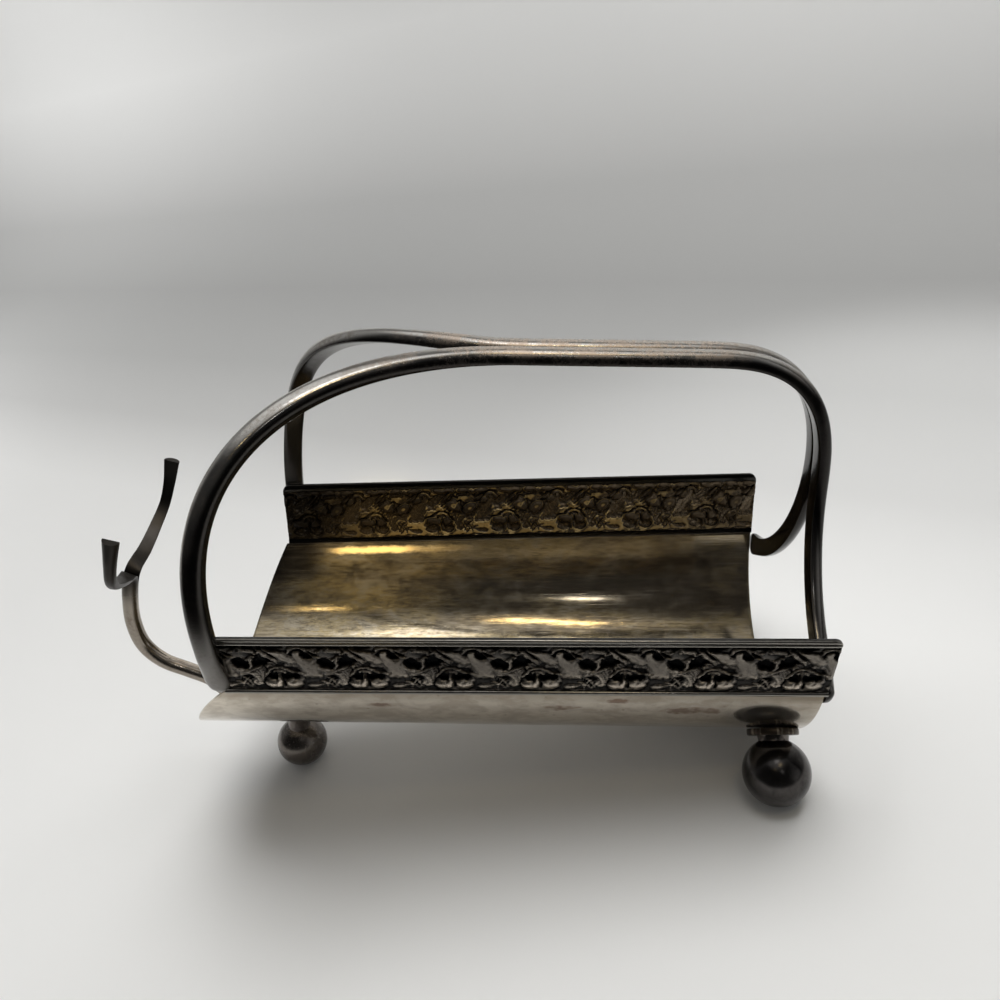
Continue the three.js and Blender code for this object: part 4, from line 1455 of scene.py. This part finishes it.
@dataclass
class HandleBar:
    """One of the handle's two half-round bars, from its leaf on the gallery to its tab on the trough."""

    side: Side
    leaf_inset: float
    bow: float
    tab_drop: float
    sizes: BarSizes = field(default_factory=BarSizes)
    grip_height: float = 99.5
    grip_fall: float = 2.8
    grip_start: float = -8.0
    grip_end: float = 75.0
    knee_height: float = 52.0
    knee_reach: float = 1.9
    knee_bend: float = 13.0
    knee_rise: float = 31.5
    leg_fall: float = 28.0
    leg_spread: float = 0.48
    tab_lead: float = 7.5
    arm_root: float = 3.0
    arm_spring: float = 72.0
    arm_lift: float = 5.0
    arm_sweep: float = 62.0
    arm_spread: float = 10.0
    bends: int = 105
    relaxing: int = 6
    stations: int = 300

    def _leaf_offset(self, x: float, z: float) -> float:
        """Distance of the leaf's flat side from the centre plane."""
        proud = max(GALLERY.rim_width, GALLERY.bead_width) - GALLERY.sheet / 2
        return float(GALLERY.offset(x + self.sizes.leaf_width / 2, z)) + proud + GAP

    def route(self) -> np.ndarray:
        """Points along the bar's flat side, evenly spaced from the leaf's tip to the tab's end."""
        beside = self.sizes.width / 2 + GAP / 2
        end = CRADLE.length / 2
        knee_x, tab_x = end + self.knee_reach, end + GAP
        low = self.grip_height - self.grip_fall
        leaf_x = GALLERY.start + self.leaf_inset
        root_z = GALLERY.top + self.arm_root
        tip_z = GALLERY.bottom + self.sizes.leaf_tip
        root = (leaf_x, self._leaf_offset(leaf_x, root_z), root_z)
        tip = (leaf_x, self._leaf_offset(leaf_x, tip_z), tip_z)
        start = (self.grip_start, beside, self.grip_height)
        grip_end = (self.grip_end, beside, low)
        knee = (knee_x, beside, self.knee_height)
        tab = (tab_x, float(CRADLE.edge_half_width(end)), GALLERY.bottom - self.tab_drop)
        lines = [
            np.array([tip, root]),
            bezier(root, (leaf_x + self.bow, root[1] + 1, root_z + self.arm_spring),
                   (start[0] - self.arm_sweep, beside + self.arm_spread, start[2] + self.arm_lift), start),
            np.array([start, grip_end]),
            bezier(grip_end, (knee_x - self.knee_bend, beside, low - self.grip_fall / 2),
                   (knee_x, beside, self.knee_height + self.knee_rise), knee),
            bezier(knee, (knee_x, beside, self.knee_height - self.leg_fall),
                   (tab_x, self.leg_spread * tab[1], tab[2] + self.tab_lead), tab),
        ]
        line = eased(spaced(np.vstack(lines), self.bends), self.relaxing)
        line = self._closer_set_end(through(line, self.stations))
        line[:, 1] *= self.side.sign
        return line

    def build(self) -> list[Finished]:
        """Sweeps the section along the route, with the leaf and the tab flattened."""
        route = self.route()
        run = run_of(route)
        left = run[-1] - run
        sizes = self.sizes
        leaf, tab = run / sizes.leaf_length, left / sizes.tab_length
        width = np.maximum(blend(sizes.leaf_width, sizes.width, leaf),
                           blend(sizes.tab_width, sizes.width, tab))
        thick = np.minimum(blend(sizes.leaf_thickness, sizes.thickness, leaf),
                           blend(sizes.tab_thickness, sizes.thickness, tab))
        width = width * self._round_end(run, sizes.leaf_round) * self._round_end(left, sizes.tab_round)
        thick = thick * np.sqrt(np.clip(run / sizes.end_round, 0.25, 1))
        thick = thick * self._round_end(left, sizes.end_round)
        arm_end = int(np.argmax(route[:, 0] > self.grip_start))
        arm_start = int(np.argmax(route[:, 2] > GALLERY.top))
        share = np.clip((np.arange(len(route)) - arm_start) / (arm_end - arm_start), 0, 1)[:, None]
        along = heading(route)
        follow = np.stack([-along[:, 2], np.zeros(len(route)), along[:, 0]], axis=1)
        outward = np.array([[0.0, self.side.sign, 0.0]])
        piece = Bench.tube(f"{self.side.word}_handle",
                           swept(route, outward * (1 - share) + follow * share, width, thick))
        mark_bar(piece, route, thick)
        Bench.smooth(piece, 60)
        return [Finished(piece, (f"{self.side.word}_handle_bar",), "bar_plate", Finish.BARS)]

    def _closer_set_end(self, line: np.ndarray, step: float = 0.4) -> np.ndarray:
        """Sets the stations of the tab's rounded end closer together."""
        run = run_of(line)
        round_start = run[-1] - self.sizes.tab_round - step
        places = np.r_[run[run < round_start], np.arange(round_start, run[-1], step), run[-1]]
        return picked(line, run, places)

    @staticmethod
    def _round_end(distance: np.ndarray, reach: float, blunt: float = 0.12) -> np.ndarray:
        """Share of the full size at a distance from the tip of an end that is rounded over a reach."""
        inside = 1 - np.clip(distance / reach, 0, 1)
        return np.maximum(np.sqrt(1 - inside ** 2), blunt)


@dataclass
class NeckRest:
    """The forked rest for the bottle's neck: two half-round bars joined below the split."""

    stem_radius: float = 3.1
    tang_thickness: float = 3.0
    tang_width: float = 4.6
    tang_start: float = -84.0
    reach: float = 163.3
    bend_height: float = -14.5
    split_height: float = 11.0
    tip_height: float = 45.6
    tip_reach: float = 145.1
    tip_spread: float = 30.6
    drawn_in: float = 0.3
    shoulder: float = 0.07
    solder: float = 0.02
    flat_run: tuple[float, ...] = (20.0, 4.0)
    leave: Span = (1.5, 0.4)
    stem: tuple[Span, ...] = ((0.27, 0.2), (0.5, 0.32), (0.78, 0.47), (0.95, 0.69))
    rising: Span = (0.1, 0.55)
    prong: tuple[Point, ...] = (
        (0.28, 0.04, 0.0),
        (0.42, 0.34, 0.13),
        (0.54, 0.68, 0.29),
        (0.68, 0.9, 0.47),
        (0.84, 0.98, 0.72),
    )
    taper: float = 9.0
    stations: int = 240

    @property
    def lip(self) -> float:
        """X of the middle of the trough's lip."""
        return float(CRADLE.lip_x(np.float64(0.0)))

    def _under(self, x: float) -> float:
        """Height of the tang's middle where it lies under the trough."""
        return -float(CRADLE.outer_radius(x)) - GAP - self.tang_thickness / 2

    def route(self, side: int) -> np.ndarray:
        """Points along one bar's flat side, from the tang's end to the prong's tip."""
        lip, joined, low, split = self.lip, self.solder, self.bend_height, self.split_height
        base = self._under(lip)
        run, rise = self.reach + lip, low - base
        back, spread = self.reach - self.tip_reach, self.tip_spread - joined
        climb = self.tip_height - split
        flat = [self.tang_start, *(lip + x for x in self.flat_run)]
        points = [(x, joined, self._under(x)) for x in flat]
        points.append((lip - self.leave[0], joined, base - self.leave[1]))
        points += [(lip - far * run, joined, base + up * rise) for far, up in self.stem]
        points.append((-self.reach, joined, low))
        points.append((-self.reach + self.rising[0] * back, joined, low + self.rising[1] * (split - low)))
        points += [(-self.reach + far * back, joined + out * spread, split + up * climb)
                   for far, out, up in self.prong]
        points.append((-self.tip_reach, self.tip_spread, self.tip_height))
        line = through(np.array(points), self.stations)
        line[:, 1] *= side
        return line

    def build(self) -> list[Finished]:
        """Sweeps both bars."""
        finished = []
        for side in Side:
            route = self.route(side.sign)
            free = (self.lip - 1 - route[:, 0]) / self.taper
            climb = np.clip((route[:, 2] - self.split_height) / (self.tip_height - self.split_height), 0, 1)
            width = blend(self.tang_thickness, 2 * self.stem_radius, free)
            width = width * (1 - self.drawn_in * np.sin(math.pi * climb))
            thick = blend(self.tang_width, self.stem_radius, free)
            hint = np.tile([[0.0, side.sign, 0.0]], (len(route), 1))
            piece = Bench.tube(f"{side.word}_fork_bar", swept(route, hint, width, thick, self.shoulder))
            mark_bar(piece, route, thick)
            Bench.smooth(piece, 50)
            finished.append(Finished(piece, (f"{side.word}_neck_rest_bar",), "bar_plate", Finish.FORK))
        return finished


@dataclass(frozen=True)
class FootSizes:
    """Sizes of one kind of ball foot, how far in it stands and how far it leans out."""

    inset: float
    splay: float
    ball_radius: float
    neck_length: float
    neck_radius: float
    collar_radius: float
    collar_height: float
    stand_off: float = 0.0


BASE_FOOT = FootSizes(inset=10.6, splay=math.radians(46.5), ball_radius=12.7, neck_length=1.66,
                      neck_radius=6.1, collar_radius=9.7, collar_height=2.6)
NECK_FOOT = FootSizes(inset=-4.5, splay=0.0, ball_radius=11.1, neck_length=15.15,
                      neck_radius=5.3, collar_radius=8.6, collar_height=2.4, stand_off=3.6)


@dataclass
class Foot:
    """A ball foot with its turned neck and collar."""

    word: str
    side: int
    sizes: FootSizes
    ball_finish: Finish = Finish.DARK_BALL
    sunk: float = 1.2
    entry: float = 0.2
    waist: float = 0.22
    worn_flat: float = 0.02
    collar_edge: float = 0.55
    collar_fullness: float = 0.6
    # Waves that place the collars' painted reflection streaks
    streaks: tuple[int, ...] = (5, 11, 17, 29, 37)

    @property
    def seat(self) -> float:
        """Height over the ball's centre where the neck starts."""
        return math.sqrt(self.sizes.ball_radius ** 2 - self.sizes.neck_radius ** 2)

    @property
    def height(self) -> float:
        """Height of the collar's top over the ball's centre."""
        return self.seat + GAP + self.sizes.neck_length + GAP + self.sizes.collar_height

    @property
    def x(self) -> float:
        """X of the foot's axis."""
        end = math.copysign(CRADLE.length / 2, self.sizes.inset)
        return end - self.sizes.inset

    def frame(self) -> Matrix:
        """From the foot's own axis along Z, in metres, to the standing object."""
        radial = float(CRADLE.outer_radius(self.x)) + self.sizes.stand_off + self.height
        aside, down = self.side * radial * math.sin(self.sizes.splay), radial * math.cos(self.sizes.splay)
        centre = np.array([[self.x, aside, -down]])
        lean = Matrix.Rotation(self.side * self.sizes.splay, 4, "X")
        stand = Matrix.Rotation(CRADLE.tilt, 4, "Y")
        return Matrix.Translation(Vector(CRADLE.place(centre)[0])) @ stand @ lean

    def _settle(self, piece: bpy.types.Object) -> None:
        """Puts a piece made about the foot's own axis into place."""
        piece.data.transform(self.frame())
        piece.data.update()

    def build(self) -> list[Finished]:
        """Makes the ball, the neck and the collar."""
        return [
            Finished(self._ball(), (f"{self.word}_ball",), "foot_plate", self.ball_finish),
            Finished(self._neck(), (f"{self.word}_neck",), "foot_plate", Finish.NECK),
            Finished(self._collar(), (f"{self.word}_collar",), "collar_plate", Finish.COLLAR),
        ]

    def _ball(self) -> bpy.types.Object:
        """A ball with the flat that it has worn where it stands."""
        Bench.clear()
        bpy.ops.mesh.primitive_uv_sphere_add(segments=72, ring_count=48, radius=self.sizes.ball_radius * MM)
        piece = Bench.named(f"{self.word}_ball_body")
        self._settle(piece)
        Bench.edit(piece)
        bpy.ops.mesh.bisect(plane_co=(0, 0, self.worn_flat * MM), plane_no=(0, 0, 1), clear_inner=True,
                            use_fill=True)
        Bench.done()
        Bench.smooth(piece, 40)
        return piece

    def _neck(self) -> bpy.types.Object:
        """The turned neck, drawn in at its middle."""
        bottom = self.seat - self.sunk
        top = self.seat + GAP + self.sizes.neck_length + GAP + self.entry
        share = np.linspace(0, 1, 14)
        waist = self.waist * min(self.sizes.neck_radius, self.sizes.neck_length)
        radius = self.sizes.neck_radius - waist * np.sin(math.pi * share)
        profile = [(0.0, bottom * MM)]
        profile += [(r * MM, (bottom + (top - bottom) * t) * MM) for r, t in zip(radius, share)]
        profile.append((0.0, top * MM))
        piece = Bench.lathe(f"{self.word}_neck_post", profile, 48)
        self._settle(piece)
        Bench.smooth(piece, 45)
        return piece

    def _collar(self) -> bpy.types.Object:
        """The round collar between the neck and the trough."""
        top = self.height
        bottom = top - self.sizes.collar_height
        middle = (top + bottom) / 2
        profile = [(0.0, bottom * MM)]
        for turn in np.linspace(-math.pi / 2, math.pi / 2, 9):
            out = self.sizes.collar_radius - self.collar_edge * (1 - math.cos(turn))
            rise = math.copysign(abs(math.sin(turn)) ** self.collar_fullness, math.sin(turn))
            profile.append((out * MM, (middle + self.sizes.collar_height / 2 * rise) * MM))
        profile.append((0.0, top * MM))
        piece = Bench.lathe(f"{self.word}_collar_ring", profile, 144)
        points = Bench.points(piece)
        # Waves round the collar that place its painted reflection streaks
        turn = np.arctan2(points[:, 1], points[:, 0])
        waves = [np.sin(k * turn + 1.7 * k) for k in self.streaks]
        Bench.values(piece, "streak", 0.5 + 0.22 * sum(waves))
        self._settle(piece)
        Bench.smooth(piece, 45)
        return piece


# Camera, floor and light


@dataclass(frozen=True)
class Studio:
    """The place that the object is seen in."""

    eye: Point = (0.0545623, -0.282489, 0.2766556)
    right: Point = (0.98311528, 0.01261857, -0.18255166)
    up: Point = (0.15249666, 0.49489715, 0.85546571)
    forward: Point = (-0.10113905, 0.86885993, -0.48461666)
    lens: float = 30.6
    sensor: float = 36.0
    sheet_front: float = -2.0
    sheet_width: float = 6.0
    sheet_length: float = 5.0
    sheet_turn: float = math.radians(-31.0)
    bend_start: float = 0.5
    bend_radius: float = 0.45
    dim: Span = (-130.0, -300.0)
    dimmed: Colour = (0.02, 0.02, 0.02)
    amber: Colour = (1.0, 0.80, 0.45)
    warmth: float = 0.985
    shade_start: float = -0.4
    shade_span: float = 1.6
    # Greys along the sheet are painted shade: the floor darkens away from the camera to its darkest where
    # it turns up into the bend, and lightens again up the wall
    shades: tuple[Span, ...] = (
        (-0.30, 0.83),
        (-0.10, 0.80),
        (0.00, 0.76),
        (0.12, 0.68),
        (0.24, 0.47),
        (0.38, 0.38),
        (0.60, 0.34),
        (0.78, 0.42),
        (1.05, 0.75),
    )

    def camera(self) -> None:
        """Sets the camera at the photograph's viewing angle."""
        data = bpy.data.cameras.new("camera")
        data.lens = self.lens
        data.sensor_width = self.sensor
        data.clip_start = 0.01
        data.clip_end = 50.0
        camera = bpy.data.objects.new("camera", data)
        bpy.context.scene.collection.objects.link(camera)
        axes = (self.right, self.up, tuple(-c for c in self.forward))
        turn = Matrix([[axes[k][row] for k in range(3)] for row in range(3)]).to_4x4()
        camera.matrix_world = Matrix.Translation(self.eye) @ turn
        bpy.context.scene.camera = camera

    def backdrop(self) -> None:
        """A pale sheet that lies as the floor and sweeps up into the background."""
        piece, u, v = Bench.grid("sweep", 24, 160)
        run = self.sheet_length * v
        bend = math.pi / 2 * self.bend_radius
        flat = self.bend_start - self.sheet_front
        share = np.clip((run - flat) / bend, 0, 1) * math.pi / 2
        far = self.sheet_front + np.minimum(run, flat) + self.bend_radius * np.sin(share)
        z = self.bend_radius * (1 - np.cos(share)) + np.maximum(run - flat - bend, 0)
        across = (u - 0.5) * self.sheet_width
        c, n = math.cos(self.sheet_turn), math.sin(self.sheet_turn)
        Bench.move_points(piece, np.stack([across * c - far * n, across * n + far * c, z], axis=1))
        Bench.values(piece, "run", self.sheet_front + run)
        Bench.smooth(piece, 180)
        g = Surface("backdrop")
        stops = [((run - self.shade_start) / self.shade_span, (grey, grey, self.warmth * grey))
                 for run, grey in self.shades]
        along = (g.stored("run") - self.shade_start) * (1 / self.shade_span)
        shade = g.node("ShaderNodeValToRGB", {"stops": stops}, {"Fac": along})
        glossy = Value(g, g.node("ShaderNodeLightPath").outputs["Is Glossy Ray"])
        colour = g.mix(glossy * g.y.step(*self.dim), shade.outputs["Color"], self.dimmed)
        g.tree.links.new(colour, g.shader.inputs["Base Color"])
        g.shader.inputs["Roughness"].default_value = 0.85
        g.shader.inputs["Specular IOR Level"].default_value = 0.1
        piece.data.materials.append(g.material)

    def lamp(self, name: str, place: Point, aim: Point, size: Span, power: float, mirrored: bool = True,
             colour: Colour = (1.0, 1.0, 1.0)) -> None:
        """A soft rectangular light.

        Args:
            name: The lamp's name.
            place: Where it hangs.
            aim: What it points at.
            size: Its two sides in metres.
            power: Its power in watts.
            mirrored: Whether it shows in polished metal.
            colour: Its colour.
        """
        data = bpy.data.lights.new(name, "AREA")
        data.shape = "RECTANGLE"
        data.size, data.size_y = size
        data.energy = power
        data.color = colour
        self.hang(name, data, place, aim, mirrored)

    def spot(self, name: str, place: Point, aim: Point, cone: float, power: float,
             colour: Colour = (1.0, 1.0, 1.0)) -> None:
        """A round light with a soft edge that doesn't show in polished metal.

        Args:
            name: The lamp's name.
            place: Where it hangs.
            aim: What it points at.
            cone: Its full angle in degrees.
            power: Its power in watts.
            colour: Its colour.
        """
        data = bpy.data.lights.new(name, "SPOT")
        data.energy = power
        data.color = colour
        data.spot_size = math.radians(cone)
        data.spot_blend = 1.0
        data.shadow_soft_size = 0.02
        self.hang(name, data, place, aim, mirrored=False)

    @staticmethod
    def hang(name: str, data: bpy.types.Light, place: Point, aim: Point, mirrored: bool) -> None:
        """Places a light and turns it to its aim."""
        lamp = bpy.data.objects.new(name, data)
        bpy.context.scene.collection.objects.link(lamp)
        way = Vector(aim) - Vector(place)
        lamp.rotation_euler = way.to_track_quat("-Z", "Y").to_euler()
        lamp.location = place
        lamp.visible_glossy = mirrored

    def light(self) -> None:
        """Soft light from above, with small lamps whose streaks show in the metal."""
        middle = (0.0, 0.0, 0.05)
        self.lamp("overhead softbox", (0.14, 0.28, 1.25), middle, (1.0, 0.9), 14.8, mirrored=False)
        self.lamp("wall wash", (-1.16, 0.54, 0.90), (-1.32, 0.72, 0.68), (0.6, 0.6), 14.7, mirrored=False)
        self.lamp("ceiling lamp", (0.17, -0.17, 1.3), middle, (0.46, 0.26), 0.9)
        self.lamp("right strip", (0.30, -0.46, 1.15), middle, (0.22, 0.06), 0.42, colour=self.amber)
        self.lamp("left spot", (-0.15, -0.76, 1.10), middle, (0.11, 0.035), 0.08, colour=self.amber)
        self.lamp("right spot", (0.34, -0.90, 0.93), middle, (0.06, 0.05), 0.12)
        self.spot("gold spot", (0.15, -0.72, 0.52), (-0.047, 0.049, 0.077), 5.0, 70.0, self.amber)
        self.spot("right wash", (0.50, 0.38, 0.55), (0.27, 0.23, 0.0), 50.0, 7.5)

    def room(self) -> None:
        """The room round the sheet: pale overhead and to the right, dark behind the camera."""
        world = bpy.data.worlds.new("room")
        bpy.context.scene.world = world
        world.use_nodes = True
        g = Graph(world.node_tree)
        background = world.node_tree.nodes["Background"]
        aside, back, up = g.parts(g.node("ShaderNodeTexCoord").outputs["Generated"])
        glossy = Value(g, g.node("ShaderNodeLightPath").outputs["Is Glossy Ray"])
        walls = back.step(-0.35, 0.3) * 0.3 + aside.step(0.45, 0.9) * 0.35
        mirrored = up.step(0.77, 0.98) * 0.75 + walls + 0.03
        grey = mirrored * glossy + (1 - glossy) * 0.17
        world.node_tree.links.new(g.mix(grey, (0.0, 0.0, 0.0), (1.0, 1.0, 1.0)), background.inputs["Color"])


def main() -> None:
    """Builds the basket piece by piece and reports each."""
    logging.basicConfig(level=logging.INFO, format="%(name)s: %(message)s")
    bpy.context.scene.view_settings.view_transform = "Standard"
    assemblies = [
        Tray(),
        Gallery(Side.FRONT),
        Gallery(Side.REAR),
        HandleBar(Side.FRONT, leaf_inset=-0.3, bow=-1.5, tab_drop=2.8),
        HandleBar(Side.REAR, leaf_inset=4.5, bow=9.0, tab_drop=5.6),
        NeckRest(),
        Foot("front_foot", Side.FRONT.sign, BASE_FOOT),
        Foot("rear_foot", Side.REAR.sign, BASE_FOOT),
        Foot("neck_foot", 0, NECK_FOOT, Finish.BROWN_BALL),
    ]
    for assembly in assemblies:
        for finished in assembly.build():
            finished.hand_in()
    studio = Studio()
    studio.camera()
    studio.backdrop()
    studio.light()
    studio.room()


if __name__ == "__main__":
    main()
